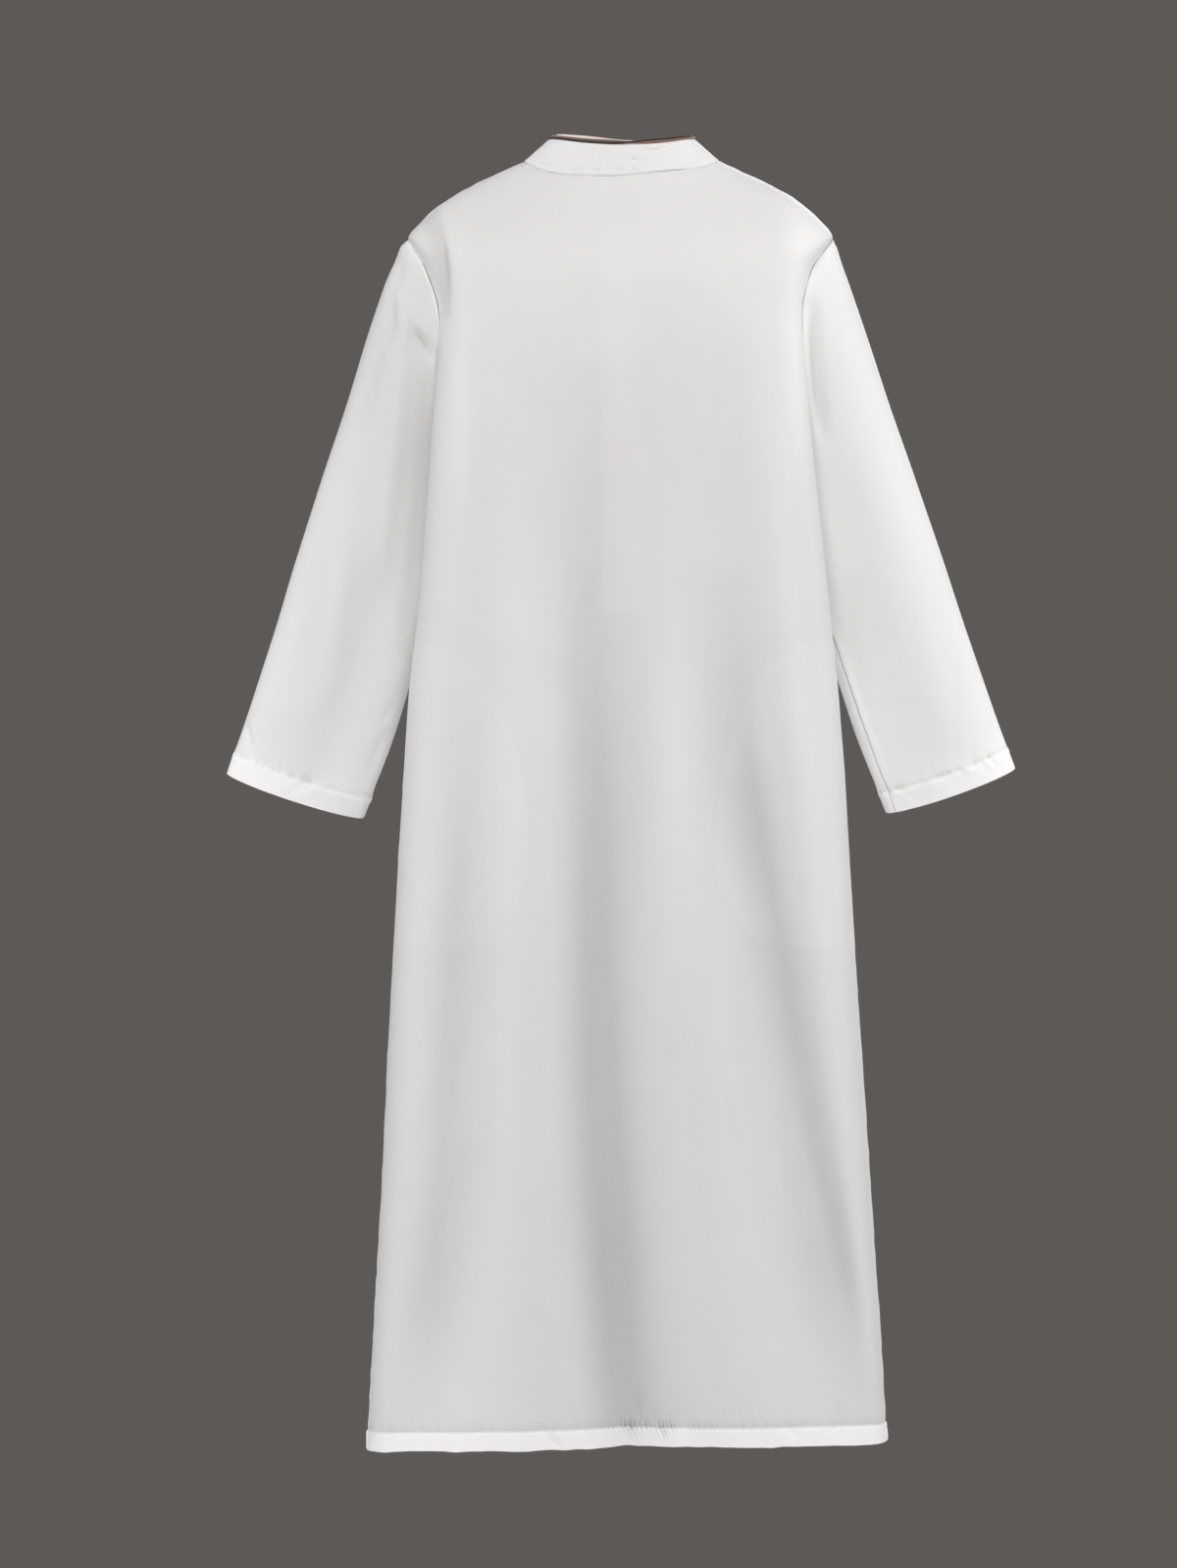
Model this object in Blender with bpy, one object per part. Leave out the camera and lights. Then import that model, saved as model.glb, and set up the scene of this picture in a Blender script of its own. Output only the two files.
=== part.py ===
"""A long white thobe robe, filled out as if worn: every piece of cloth is a thin wall on one garment form.

Frame: metres, +Z up, the front faces -Y and the wearer's left is +X. The origin is midway between the
high points of the shoulders, where the neck meets the shoulder seams.
"""
import math

import bmesh
import bpy
from mathutils import Matrix, Vector

# ---------------------------------------------------------------- driving dimensions, in metres

WALL = 0.0016  # body and sleeve cloth
FOLDED_WALL = 0.0024  # hem and cuffs, where the cloth is turned in and doubled
SEAM = 0.0003  # gap between neighbouring pieces

NECK_DROP_BACK = 0.019
NECK_DROP_FRONT = 0.055
NECK_FADE_Z = -0.20  # the neck curve pulls the rows above this level

TIP_Z = -0.085  # shoulder tip, where the shoulder seam meets the armhole
UNDERARM_Z = -0.305
ARMHOLE_HALF_DEPTH = 0.050
CREASE_GAP = 4  # the seam's gap is this many times wider in the sharp crease at the underarm
HEM_Z = -1.3935
HEM_BAND = 0.021
HEM_RISE = 0.0075  # the hem's middle hangs higher than its sides
HEM_TILT = 0.0043  # and its left side lower than its right
HEM_FADE_Z = -0.80

PLACKET_LEFT = 0.025
PLACKET_RIGHT = -0.027
PLACKET_END_Z = -0.498
PLACKET_WALL = 0.0012
SLIT_GAP = 0.0006

COLLAR_TOP_HALF_WIDTH = 0.079
COLLAR_TOP_BACK_Y = 0.041
COLLAR_TOP_FRONT_Y = 0.047
COLLAR_TOP_Z = 0.0245
COLLAR_DIP_BACK = 0.0092
COLLAR_DIP_FRONT = 0.0445
COLLAR_WALL = 0.0012
COLLAR_LAP = 0.0034  # how far the lapping end stands off the end below it
LAP_START = math.radians(482)  # where it starts to stand off, on the way round to that end
LAP_LENGTH = math.radians(38)
TRIM_HEIGHT = 0.0053
TRIM_WALL = 0.0014
FACING_STAND = 0.0030  # the inner layer stands this much above the trim on the left
FACING_DIP = 0.0008  # and lies this much below its top elsewhere
FACING_BACK_X = (-0.022, 0.048)  # its edge rises between these, at the back
FACING_FRONT_X = (0.000, 0.050)  # and between these at the front

POCKET_LEAF = 0.0010
POCKET_HOLLOW = 0.0010
POCKET_CLEARANCE = 0.0024  # between the back panel and the bag that lies behind it, at the bag's mouth
POCKET_STAND_OFF = 0.0032  # and this much more away from the mouth
POCKET_MOUTH = 0.003  # the bag's mouth lies this far from the side seam
MOUTH_Z = -0.605  # middle of the opening that the side seam leaves for the hand
MOUTH_HALF = 0.065
MOUTH_GAP = 0.0012

BUTTON_RADIUS = 0.00575
BUTTON_HEIGHT = 0.0024
BUTTON_RIM = 0.0016
BUTTON_DISH = 0.0008
BUTTON_LEVELS = (-0.118, -0.208, -0.298, -0.388)

SLEEVE_RUN = 0.56  # length over which the sleeve's section changes
SLEEVE_SWING = math.radians(12)  # the sleeves hang a little forwards
CUFF_BAND = 0.025
CUFF_Y = -0.117
SETTLE_TOP = 0.06  # length over which a sleeve leaves the armhole's outline, at its top
SETTLE_UNDER = 0.17  # and at the underarm

# ---------------------------------------------------------------- short tables, a row for each section

# The body's outline at each level: half widths on the wearer's left and right, the middle line's y, the
# depth behind and before it, how square the outline is (2 is an ellipse), and the side seam's y.
BODY_COLUMNS = ("z", "left", "right", "middle", "behind", "before", "square", "seam")
BODY = (
    (0.000, 0.1070, 0.1062, 0.000, 0.045, 0.055, 2.00, 0.000),
    (-0.035, 0.1786, 0.1787, 0.000, 0.066, 0.078, 2.05, 0.000),
    (-0.067, 0.2192, 0.2178, 0.002, 0.084, 0.099, 2.15, 0.002),
    (-0.085, 0.2320, 0.2295, 0.004, 0.092, 0.108, 2.25, 0.004),
    (-0.119, 0.2170, 0.2100, 0.014, 0.096, 0.124, 2.40, 0.004),
    (-0.161, 0.2010, 0.1975, 0.028, 0.089, 0.144, 2.55, 0.000),
    (-0.210, 0.1996, 0.1985, 0.038, 0.082, 0.159, 2.70, -0.006),
    (-0.305, 0.2066, 0.2060, 0.042, 0.078, 0.166, 2.80, -0.022),
    (-0.450, 0.2170, 0.2220, 0.030, 0.087, 0.151, 2.80, -0.018),
    (-0.600, 0.2322, 0.2362, 0.015, 0.102, 0.136, 2.75, -0.010),
    (-0.900, 0.2508, 0.2562, 0.006, 0.120, 0.134, 2.60, -0.004),
    (-1.200, 0.2662, 0.2758, 0.003, 0.135, 0.141, 2.45, 0.000),
    (-1.400, 0.2772, 0.2888, 0.000, 0.145, 0.145, 2.35, 0.000),
)

# The hollow in each side where the sleeve lies.
HOLLOW_COLUMNS = ("z", "middle", "half", "depth")
HOLLOW = (
    (-0.085, 0.000, 0.050, 0.000),
    (-0.160, -0.005, 0.055, 0.016),
    (-0.240, -0.014, 0.060, 0.036),
    (-0.305, -0.022, 0.064, 0.046),
    (-0.360, -0.036, 0.066, 0.040),
    (-0.430, -0.055, 0.066, 0.016),
    (-0.500, -0.070, 0.066, 0.000),
)

# Folds in the hanging cloth: x at the top, middle and bottom of each, its half width, and its depth,
# which is a trough where positive and a ridge where negative.
FOLD_FADE = 0.6  # they die out towards the sides, below this cosine of the angle
FOLD_COLUMNS = ("name", "top", "bottom", "x_top", "x_middle", "x_bottom", "half", "depth")
BACK_FOLDS = (
    ("centre_trough", -0.30, -1.75, 0.030, 0.026, -0.062, 0.034, 0.013),
    ("left_shoulder", -0.05, -0.24, 0.193, 0.196, 0.190, 0.014, 0.006),
    ("right_shoulder", -0.11, -0.80, -0.172, -0.190, -0.232, 0.016, 0.005),
    ("left_swell", -0.70, -1.75, 0.110, 0.108, 0.120, 0.045, -0.008),
    ("right_swell", -0.70, -1.75, -0.075, -0.090, -0.150, 0.045, -0.008),
)
FRONT_FOLDS = (
    ("left_trough", -0.58, -1.65, 0.120, 0.140, 0.175, 0.032, 0.012),
    ("centre_trough", -0.50, -1.80, -0.012, -0.020, 0.020, 0.036, 0.012),
    ("right_trough", -0.66, -1.60, -0.110, -0.135, -0.190, 0.030, 0.010),
    ("left_swell", -0.75, -1.80, 0.065, 0.075, 0.090, 0.040, -0.008),
    ("right_swell", -0.80, -1.80, -0.065, -0.080, -0.100, 0.040, -0.007),
)

# The back's deep hanging folds, each down its own line from the top: half width towards the wearer's left and
# right, depth, the share of it that is left at the hem, and the line.
DEEP_FOLDS = (
    ("centre_fold", 0.052, 0.076, 0.0170, 0.85, (
        (-0.22, 0.040), (-0.34, 0.034), (-0.46, 0.030), (-0.60, 0.028), (-0.76, 0.026), (-0.90, 0.024),
        (-1.02, 0.020), (-1.14, 0.014), (-1.26, 0.005), (-1.40, -0.010),
    )),
    ("left_fold", 0.043, 0.043, 0.0120, 0.40, (
        (-0.52, 0.155), (-0.76, 0.157), (-0.90, 0.163), (-1.00, 0.168), (-1.10, 0.173), (-1.19, 0.188),
        (-1.29, 0.208), (-1.40, 0.232),
    )),
    ("right_fold", 0.055, 0.030, 0.0130, 0.45, (
        (-0.44, -0.100), (-0.56, -0.121), (-0.66, -0.136), (-0.76, -0.152), (-0.86, -0.166),
        (-0.96, -0.180), (-1.06, -0.197), (-1.16, -0.218), (-1.28, -0.243), (-1.40, -0.268),
    )),
    ("right_shoulder_blade", 0.050, 0.042, 0.0070, 0.00, (
        (-0.12, -0.076), (-0.30, -0.092), (-0.48, -0.116), (-0.66, -0.134), (-0.84, -0.150),
    )),
)
DEEP_FOLD_COLUMNS = ("z", "x")

# The sleeve's section: how far it reaches out and in from its middle line, and half its depth.
SLEEVE_COLUMNS = ("share", "outer", "inner", "depth")
SLEEVE_SECTIONS = (
    (0.00, 0.0742, 0.0760, 0.050),
    (0.45, 0.0750, 0.0800, 0.047),
    (0.80, 0.0758, 0.0822, 0.038),
    (1.00, 0.0769, 0.0769, 0.028),
)

# Each sleeve: its side, the middle of its cuff, how far it leans from upright, and its fullness.
SLEEVES = {
    "sleeve_left": {"side": 1, "cuff_x": 0.3594, "cuff_z": -0.6887, "lean": 18.1, "fullness": 1.023},
    "sleeve_right": {"side": -1, "cuff_x": 0.3630, "cuff_z": -0.6833, "lean": 19.2, "fullness": 0.970},
}

# The pocket bag's inner edge, as the x it reaches at each level.
POCKET_COLUMNS = ("z", "reach")
POCKET = (
    (-0.524, 0.203),
    (-0.545, 0.158),
    (-0.590, 0.130),
    (-0.650, 0.109),
    (-0.715, 0.099),
    (-0.775, 0.101),
    (-0.820, 0.119),
    (-0.846, 0.148),
    (-0.859, 0.190),
)

# ---------------------------------------------------------------- mesh density

BACK_SPLITS = 32
FRONT_SIDE_SPLITS = 9
PLACKET_SPLITS = 4
SHOULDER_ROWS = 4
ARMHOLE_ROWS = 9
WAIST_ROWS = 4
SKIRT_ROWS = 15
SLEEVE_ROWS = 15
COLLAR_ROWS = 2
POCKET_SPLITS = 14
POCKET_LEVELS = (
    -0.524, -0.545, -0.590, -0.650, -0.710, -0.760, -0.795, -0.820, -0.836, -0.845, -0.851, -0.855, -0.859,
)
BUTTON_SPLITS = 18

# ---------------------------------------------------------------- looks

CLOTH = (0.80, 0.80, 0.79)
TRIM_BROWN = (0.27, 0.13, 0.09)
BUTTON_WHITE = (0.78, 0.78, 0.76)


# ---------------------------------------------------------------- small helpers

def column_slope(rows, k, i):
    """Slope of column i at row k, from its neighbours."""
    low, high = max(k - 1, 0), min(k + 1, len(rows) - 1)
    return (rows[high][i] - rows[low][i]) / (rows[high][0] - rows[low][0])


def smooth(columns, rows, name, at):
    """A column's value at a place between the rows, on a smooth curve through them."""
    i = columns.index(name)
    falling = rows[-1][0] < rows[0][0]
    k = 0
    while k < len(rows) - 2 and (at < rows[k + 1][0] if falling else at > rows[k + 1][0]):
        k += 1
    span = rows[k + 1][0] - rows[k][0]
    t = (at - rows[k][0]) / span
    start, end = rows[k][i], rows[k + 1][i]
    slope_start = column_slope(rows, k, i) * span
    slope_end = column_slope(rows, k + 1, i) * span
    if t < 0:
        return start + slope_start * t
    if t > 1:
        return end + slope_end * (t - 1)
    return (
        start * (1 + 2 * t) * (1 - t) ** 2
        + slope_start * t * (1 - t) ** 2
        + end * t * t * (3 - 2 * t)
        + slope_end * t * t * (t - 1)
    )


def body(name, z):
    return smooth(BODY_COLUMNS, BODY, name, z)


def ease(t):
    """Rises smoothly from 0 to 1 as t goes from 0 to 1."""
    t = min(max(t, 0.0), 1.0)
    return t * t * (3 - 2 * t)


def signed_power(value, power):
    return math.copysign(abs(value) ** power, value)


# ---------------------------------------------------------------- the garment's form

def hollow_depth(z, y):
    """How far the side is pushed in at a level and a depth, to make room for the sleeve."""
    if not HOLLOW[-1][0] < z < HOLLOW[0][0]:
        return 0.0
    middle = smooth(HOLLOW_COLUMNS, HOLLOW, "middle", z)
    half = smooth(HOLLOW_COLUMNS, HOLLOW, "half", z)
    depth = smooth(HOLLOW_COLUMNS, HOLLOW, "depth", z)
    reach = (y - middle) / half
    return depth * (1 - reach * reach) ** 2 if abs(reach) < 1 else 0.0


def fold_depth(folds, x, z):
    """How far the folds push the cloth in at a place on the front or the back."""
    total = 0.0
    for _, top, bottom, x_top, x_middle, x_bottom, half, depth in folds:
        t = (z - top) / (bottom - top)
        if not 0 < t < 1:
            continue
        centre = x_top * (1 - t) * (1 - 2 * t) + x_middle * 4 * t * (1 - t) + x_bottom * t * (2 * t - 1)
        strength = math.sin(math.pi * t) ** 1.2
        total += depth * strength * math.exp(-(((x - centre) / half) ** 2))
    return total


def deep_fold_depth(x, z):
    """How far the deep folds push the back in at a place."""
    total = 0.0
    for _, half_left, half_right, depth, left_at_hem, line in DEEP_FOLDS:
        t = (z - line[0][0]) / (line[-1][0] - line[0][0])
        if t <= 0:
            continue
        offset = x - smooth(DEEP_FOLD_COLUMNS, line, "x", max(z, line[-1][0]))
        strength = ease(t / 0.40) ** 0.6 * (1 - (1 - left_at_hem) * ease((t - 0.78) / 0.22))
        half = half_left if offset > 0 else half_right
        total += depth * strength * math.exp(-((offset / half) ** 2))
    return total


def level_shift(z, angle):
    """How far a point of a row lies off the row's own level: the neck's drop and the hem's curve."""
    sine, cosine = math.sin(angle), math.cos(angle)
    drop = NECK_DROP_BACK if cosine > 0 else NECK_DROP_FRONT
    neck = max(1 - z / NECK_FADE_Z, 0.0) ** 2 if z > NECK_FADE_Z else 0.0
    hem = ease((z - HEM_FADE_Z) / (HEM_Z - HEM_FADE_Z))
    return hem * (HEM_RISE * cosine * cosine - HEM_TILT * sine) - drop * neck * (1 - sine**4)


def body_point(z, angle):
    """A point on the outside of the body; the angle runs from centre back over the wearer's left."""
    sine, cosine = math.sin(angle), math.cos(angle)
    power = 2 / body("square", z)
    half_width = body("left" if sine > 0 else "right", z)
    x = half_width * signed_power(sine, power)
    y = body("middle", z) + body("behind" if cosine > 0 else "before", z) * signed_power(cosine, power)
    x -= math.copysign(hollow_depth(z, y), x)
    push = fold_depth(BACK_FOLDS if cosine > 0 else FRONT_FOLDS, x, z)
    if cosine > 0:
        push += deep_fold_depth(x, z)
    y -= math.copysign(push * ease(abs(cosine) / FOLD_FADE), cosine)
    return Vector((x, y, z + level_shift(z, angle)))


def body_normal(z, angle):
    """The outward direction of the body at a place."""
    step = 0.002
    down = body_point(z - step, angle) - body_point(z + step, angle)
    across = body_point(z, angle + step) - body_point(z, angle - step)
    return across.cross(down).normalized()


def angle_at_depth(z, y, side):
    """The angle of the place on one side of the body that lies at a depth y."""
    offset = y - body("middle", z)
    depth = body("behind" if offset > 0 else "before", z)
    cosine = math.copysign(min(abs(offset) / depth, 1.0) ** (body("square", z) / 2), offset)
    return side * math.acos(cosine)


def angle_at_width(z, x, on_front):
    """The angle of the place on the back or the front of the body that lies at x."""
    half_width = body("left" if x > 0 else "right", z)
    turn = math.asin(min(abs(x) / half_width, 1.0) ** (body("square", z) / 2))
    turn = math.copysign(turn, x)
    return math.pi - turn if on_front else turn


def spread(z, start, end, splits):
    """Angles from start to end that divide the outline between them into equal lengths."""
    fine = 160
    angles = [start + (end - start) * k / fine for k in range(fine + 1)]
    places = [body_point(z, angle) for angle in angles]
    lengths = [0.0]
    for first, second in zip(places, places[1:]):
        lengths.append(lengths[-1] + (second - first).length)
    found, k = [start], 0
    for n in range(1, splits):
        target = lengths[-1] * n / splits
        while lengths[k + 1] < target:
            k += 1
        share = (target - lengths[k]) / (lengths[k + 1] - lengths[k])
        found.append(angles[k] + (angles[k + 1] - angles[k]) * share)
    return found + [end]


# ---------------------------------------------------------------- armholes and sleeves

def armhole_place(turn, grow):
    """Level and depth of the armhole, from its top (0) over the back to the underarm (pi) and the front."""
    sink = (1 - math.cos(turn)) / 2
    grow *= 1 + (CREASE_GAP - 1) * sink
    z = TIP_Z + (UNDERARM_Z - TIP_Z) * sink + grow * math.cos(turn)
    y = body("seam", TIP_Z) + (body("seam", UNDERARM_Z) - body("seam", TIP_Z)) * sink
    return z, y + (ARMHOLE_HALF_DEPTH + grow) * math.sin(turn)


def armhole_point(side, turn, grow):
    z, y = armhole_place(turn, grow)
    return body_point(z, angle_at_depth(z, y, side))


def sleeve_axes(sleeve):
    """The sleeve's cuff centre, its direction down the arm, and its directions outwards and backwards."""
    side, lean = sleeve["side"], math.radians(sleeve["lean"])
    cuff = Vector((side * sleeve["cuff_x"], CUFF_Y, sleeve["cuff_z"]))
    swing_cos, swing_sin = math.cos(SLEEVE_SWING), math.sin(SLEEVE_SWING)
    down = Vector((side * math.sin(lean) * swing_cos, -swing_sin, -math.cos(lean) * swing_cos))
    out = Vector((side * math.cos(lean), 0, math.sin(lean)))
    back = Vector((side * math.sin(lean) * swing_sin, swing_cos, -math.cos(lean) * swing_sin))
    return cuff, down, out, back


def tube_point(sleeve, turn, run):
    """A point on the plain sleeve tube, a distance run above the cuff."""
    cuff, down, out, back = sleeve_axes(sleeve)
    share = min(max(1 - run / SLEEVE_RUN, 0.0), 1.0)
    reach = smooth(SLEEVE_COLUMNS, SLEEVE_SECTIONS, "outer" if math.cos(turn) > 0 else "inner", share)
    depth = smooth(SLEEVE_COLUMNS, SLEEVE_SECTIONS, "depth", share)
    across = out * (reach * math.cos(turn)) + back * (depth * math.sin(turn))
    return cuff - down * run + across * sleeve["fullness"]


def sleeve_start(sleeve, turn):
    """The sleeve's edge at the armhole, and its distance above the cuff."""
    cuff, down, _, _ = sleeve_axes(sleeve)
    start = armhole_point(sleeve["side"], turn, -SEAM / 2)
    return start, (cuff - start).dot(down)


def sleeve_point(sleeve, turn, run):
    """A point on the sleeve, which leaves the armhole and settles into the plain tube."""
    start, start_run = sleeve_start(sleeve, turn)
    settle = SETTLE_TOP + (SETTLE_UNDER - SETTLE_TOP) * (1 - math.cos(turn)) / 2
    share = (start_run - run) / settle
    offset = start - tube_point(sleeve, turn, start_run)
    if share < 1:
        return tube_point(sleeve, turn, run) + offset * (1 - share) ** 2
    return tube_point(sleeve, turn, run)


def sleeve_normal(sleeve, turn, run):
    step = 0.002
    around = sleeve_point(sleeve, turn + step, run) - sleeve_point(sleeve, turn - step, run)
    down = sleeve_point(sleeve, turn, run - step) - sleeve_point(sleeve, turn, run + step)
    return (down.cross(around) * sleeve["side"]).normalized()


def armhole_normal(sleeve, turn, for_sleeve):
    """The outward direction at the armhole: shared where the two pieces run on, their own in the crease."""
    z, y = armhole_place(turn, 0)
    _, start_run = sleeve_start(sleeve, turn)
    on_body = body_normal(z, angle_at_depth(z, y, sleeve["side"]))
    on_sleeve = sleeve_normal(sleeve, turn, start_run)
    shared = ease(2 * on_body.dot(on_sleeve))
    own = on_sleeve if for_sleeve else on_body
    return own.lerp((on_body + on_sleeve) / 2, shared).normalized()


# ---------------------------------------------------------------- solids

def split_quads(points, faces):
    """Triangles for faces, each quad cut along its shorter diagonal."""
    triangles = []
    for face in faces:
        if len(face) == 3:
            triangles.append(face)
            continue
        a, b, c, d = face
        if (points[a] - points[c]).length <= (points[b] - points[d]).length:
            triangles += [(a, b, c), (a, c, d)]
        else:
            triangles += [(a, b, d), (b, c, d)]
    return triangles


def closed_wall(name, outer, inner, faces, colour, roughness=0.8):
    """One closed solid between an outer sheet and an inner one, both cut into the same triangles."""
    count = len(outer)
    directed = {(face[k], face[(k + 1) % len(face)]) for face in faces for k in range(len(face))}
    rim = sorted((a, b) for a, b in directed if (b, a) not in directed)
    sheet = split_quads(outer, faces)
    walls = sheet + [tuple(count + v for v in reversed(triangle)) for triangle in sheet]
    points = list(outer) + list(inner)
    walls += split_quads(points, [(b, a, a + count, b + count) for a, b in rim])
    return solid(name, points, walls, colour, roughness)


def solid(name, points, faces, colour, roughness):
    mesh = bpy.data.meshes.new(name)
    mesh.from_pydata([tuple(point) for point in points], [], faces)
    form = bmesh.new()
    form.from_mesh(mesh)
    bmesh.ops.recalc_face_normals(form, faces=form.faces)
    form.to_mesh(mesh)
    form.free()
    mesh.shade_smooth()
    mesh.set_sharp_from_angle(angle=math.radians(40))
    mesh.materials.append(finish(name, colour, roughness))
    piece = bpy.data.objects.new(name, mesh)
    bpy.context.scene.collection.objects.link(piece)
    return piece


def finish(name, colour, roughness):
    material = bpy.data.materials.new(name + "_finish")
    material.use_nodes = True
    shader = material.node_tree.nodes["Principled BSDF"]
    shader.inputs["Base Color"].default_value = (*colour, 1.0)
    shader.inputs["Roughness"].default_value = roughness
    shader.inputs["Metallic"].default_value = 0.0
    return material


def grid_faces(rows, columns, closed=False):
    """Quads over a grid of points stored row by row."""
    faces = []
    for i in range(rows - 1):
        for j in range(columns if closed else columns - 1):
            k = (j + 1) % columns
            faces.append((i * columns + j, i * columns + k, (i + 1) * columns + k, (i + 1) * columns + j))
    return faces


# ---------------------------------------------------------------- body panels

def panel_rows():
    """Every row of the body panels: its level, its armhole turn if it ends there, and its wall."""
    rows = [(TIP_Z * k / SHOULDER_ROWS, None, WALL) for k in range(SHOULDER_ROWS)]
    for k in range(ARMHOLE_ROWS + 1):
        turn = math.pi * k / ARMHOLE_ROWS
        rows.append((armhole_place(turn, SEAM / 2)[0], turn, WALL))
    waist = PLACKET_END_Z - UNDERARM_Z
    rows += [(UNDERARM_Z + waist * k / WAIST_ROWS, None, WALL) for k in range(1, WAIST_ROWS + 1)]
    hem_line = HEM_Z + HEM_BAND
    skirt = hem_line - PLACKET_END_Z
    rows += [(PLACKET_END_Z + skirt * k / SKIRT_ROWS, None, WALL) for k in range(1, SKIRT_ROWS + 1)]
    rows.append((hem_line - 0.001, None, FOLDED_WALL))
    rows.append((HEM_Z, None, FOLDED_WALL))
    return rows


def panel_edge(row, side, on_front):
    """The angle of a panel's edge on one side, half a gap from the seam."""
    z, turn, _ = row
    if turn is not None and 0 < turn < math.pi - 1e-6:
        _, y = armhole_place(-turn if on_front else turn, SEAM / 2)
        return angle_at_depth(z, y, side)
    on_shoulder = z > (TIP_Z + UNDERARM_Z) / 2
    y = body("middle" if on_shoulder else "seam", z)
    aside = max(1 - ((z - MOUTH_Z) / MOUTH_HALF) ** 2, 0.0) ** 2
    nudge = SEAM / 2 + MOUTH_GAP * aside
    return angle_at_depth(z, y - nudge if on_front else y + nudge, side)


def panel_angles(row, on_front):
    """The angles of one row's points, from the wearer's left edge to the right one."""
    z = row[0]
    left = panel_edge(row, 1, on_front)
    right = panel_edge(row, -1, on_front)
    if not on_front:
        return spread(z, left, right, BACK_SPLITS)
    width = PLACKET_RIGHT - PLACKET_LEFT
    band = [PLACKET_LEFT + width * k / PLACKET_SPLITS for k in range(PLACKET_SPLITS + 1)]
    middle = [angle_at_width(z, x, on_front) for x in band]
    on_left = spread(z, left, middle[0], FRONT_SIDE_SPLITS)
    on_right = spread(z, middle[-1], right + math.tau, FRONT_SIDE_SPLITS)
    return on_left[:-1] + middle + on_right[1:]


def panel_grid(on_front):
    """The outer points, inner points and directions of the back or front panel, row by row."""
    grid = []
    for row in panel_rows():
        z, turn, wall = row
        angles = panel_angles(row, on_front)
        cells = []
        for j, angle in enumerate(angles):
            normal = body_normal(z, angle)
            if turn is not None and j in (0, len(angles) - 1):
                sleeve = SLEEVES["sleeve_left" if j == 0 else "sleeve_right"]
                normal = armhole_normal(sleeve, -turn if on_front else turn, for_sleeve=False)
            outer = body_point(z, angle)
            cells.append((outer, outer - normal * wall, normal))
        grid.append(cells)
    return grid


def make_back_panel(grid):
    cells = [cell for row in grid for cell in row]
    faces = grid_faces(len(grid), len(grid[0]))
    closed_wall("back_panel", [c[0] for c in cells], [c[1] for c in cells], faces, CLOTH)


def placket_row():
    """The panel row where the placket ends."""
    return SHOULDER_ROWS + ARMHOLE_ROWS + WAIST_ROWS


def make_front_panel(grid):
    """The front, with a slit from the neck down its middle column."""
    columns = len(grid[0])
    centre = FRONT_SIDE_SPLITS + PLACKET_SPLITS // 2
    cells = [cell for row in grid for cell in row]
    outer = [cell[0].copy() for cell in cells]
    inner = [cell[1].copy() for cell in cells]
    faces = grid_faces(len(grid), columns)
    aside = Vector((SLIT_GAP / 2, 0, 0))
    for i in range(placket_row() - 1):
        here = i * columns + centre
        twin = len(outer)
        outer.append(outer[here] - aside)
        inner.append(inner[here] - aside)
        outer[here] = outer[here] + aside
        inner[here] = inner[here] + aside
        on_right = {here + 1, here + 1 - columns, here + 1 + columns}
        faces = [
            tuple(twin if v == here and on_right & set(face) else v for v in face) for face in faces
        ]
    closed_wall("front_panel", outer, inner, faces, CLOTH)


# ---------------------------------------------------------------- placket and buttons

def band_cells(grid):
    """The front panel's cells under the placket, with the first row just below the collar."""
    first = FRONT_SIDE_SPLITS
    rows = [row[first:first + PLACKET_SPLITS + 1] for row in grid[:placket_row() + 1]]
    start = []
    for upper, lower in zip(rows[0], rows[1]):
        start.append(tuple(a.lerp(b, 0.3) for a, b in zip(upper, lower)))
    return [start] + rows[1:]


def make_placket(name, grid, side_out):
    """A band that follows the front panel's own points, outside it or inside it."""
    rows = band_cells(grid)
    near, far = [], []
    for row in rows:
        for outer, inner, normal in row:
            if side_out:
                near.append(outer + normal * SEAM)
                far.append(outer + normal * (SEAM + PLACKET_WALL))
            else:
                near.append(inner - normal * SEAM)
                far.append(inner - normal * (SEAM + PLACKET_WALL))
    faces = grid_faces(len(rows), PLACKET_SPLITS + 1)
    closed_wall(name, far, near, faces, CLOTH)


def button_mesh():
    """A round button: flat below, a raised rim and a dished middle above."""
    profile = (
        (0.0, 0.0),
        (BUTTON_RADIUS * 0.80, 0.0),
        (BUTTON_RADIUS, BUTTON_HEIGHT * 0.45),
        (BUTTON_RADIUS - BUTTON_RIM * 0.3, BUTTON_HEIGHT),
        (BUTTON_RADIUS - BUTTON_RIM, BUTTON_HEIGHT),
        (BUTTON_RADIUS - BUTTON_RIM * 1.8, BUTTON_HEIGHT - BUTTON_DISH),
        (0.0, BUTTON_HEIGHT - BUTTON_DISH),
    )
    points = [(0, 0, profile[0][1]), (0, 0, profile[-1][1])]
    rings = profile[1:-1]
    for radius, height in rings:
        for k in range(BUTTON_SPLITS):
            turn = math.tau * k / BUTTON_SPLITS
            points.append((radius * math.cos(turn), radius * math.sin(turn), height))
    faces = []
    last = 2 + (len(rings) - 1) * BUTTON_SPLITS
    for k in range(BUTTON_SPLITS):
        following = (k + 1) % BUTTON_SPLITS
        faces.append((0, 2 + following, 2 + k))
        faces.append((1, last + k, last + following))
    for ring in range(len(rings) - 1):
        low, high = 2 + ring * BUTTON_SPLITS, 2 + (ring + 1) * BUTTON_SPLITS
        for k in range(BUTTON_SPLITS):
            following = (k + 1) % BUTTON_SPLITS
            faces.append((low + k, low + following, high + following, high + k))
    return points, faces


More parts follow.
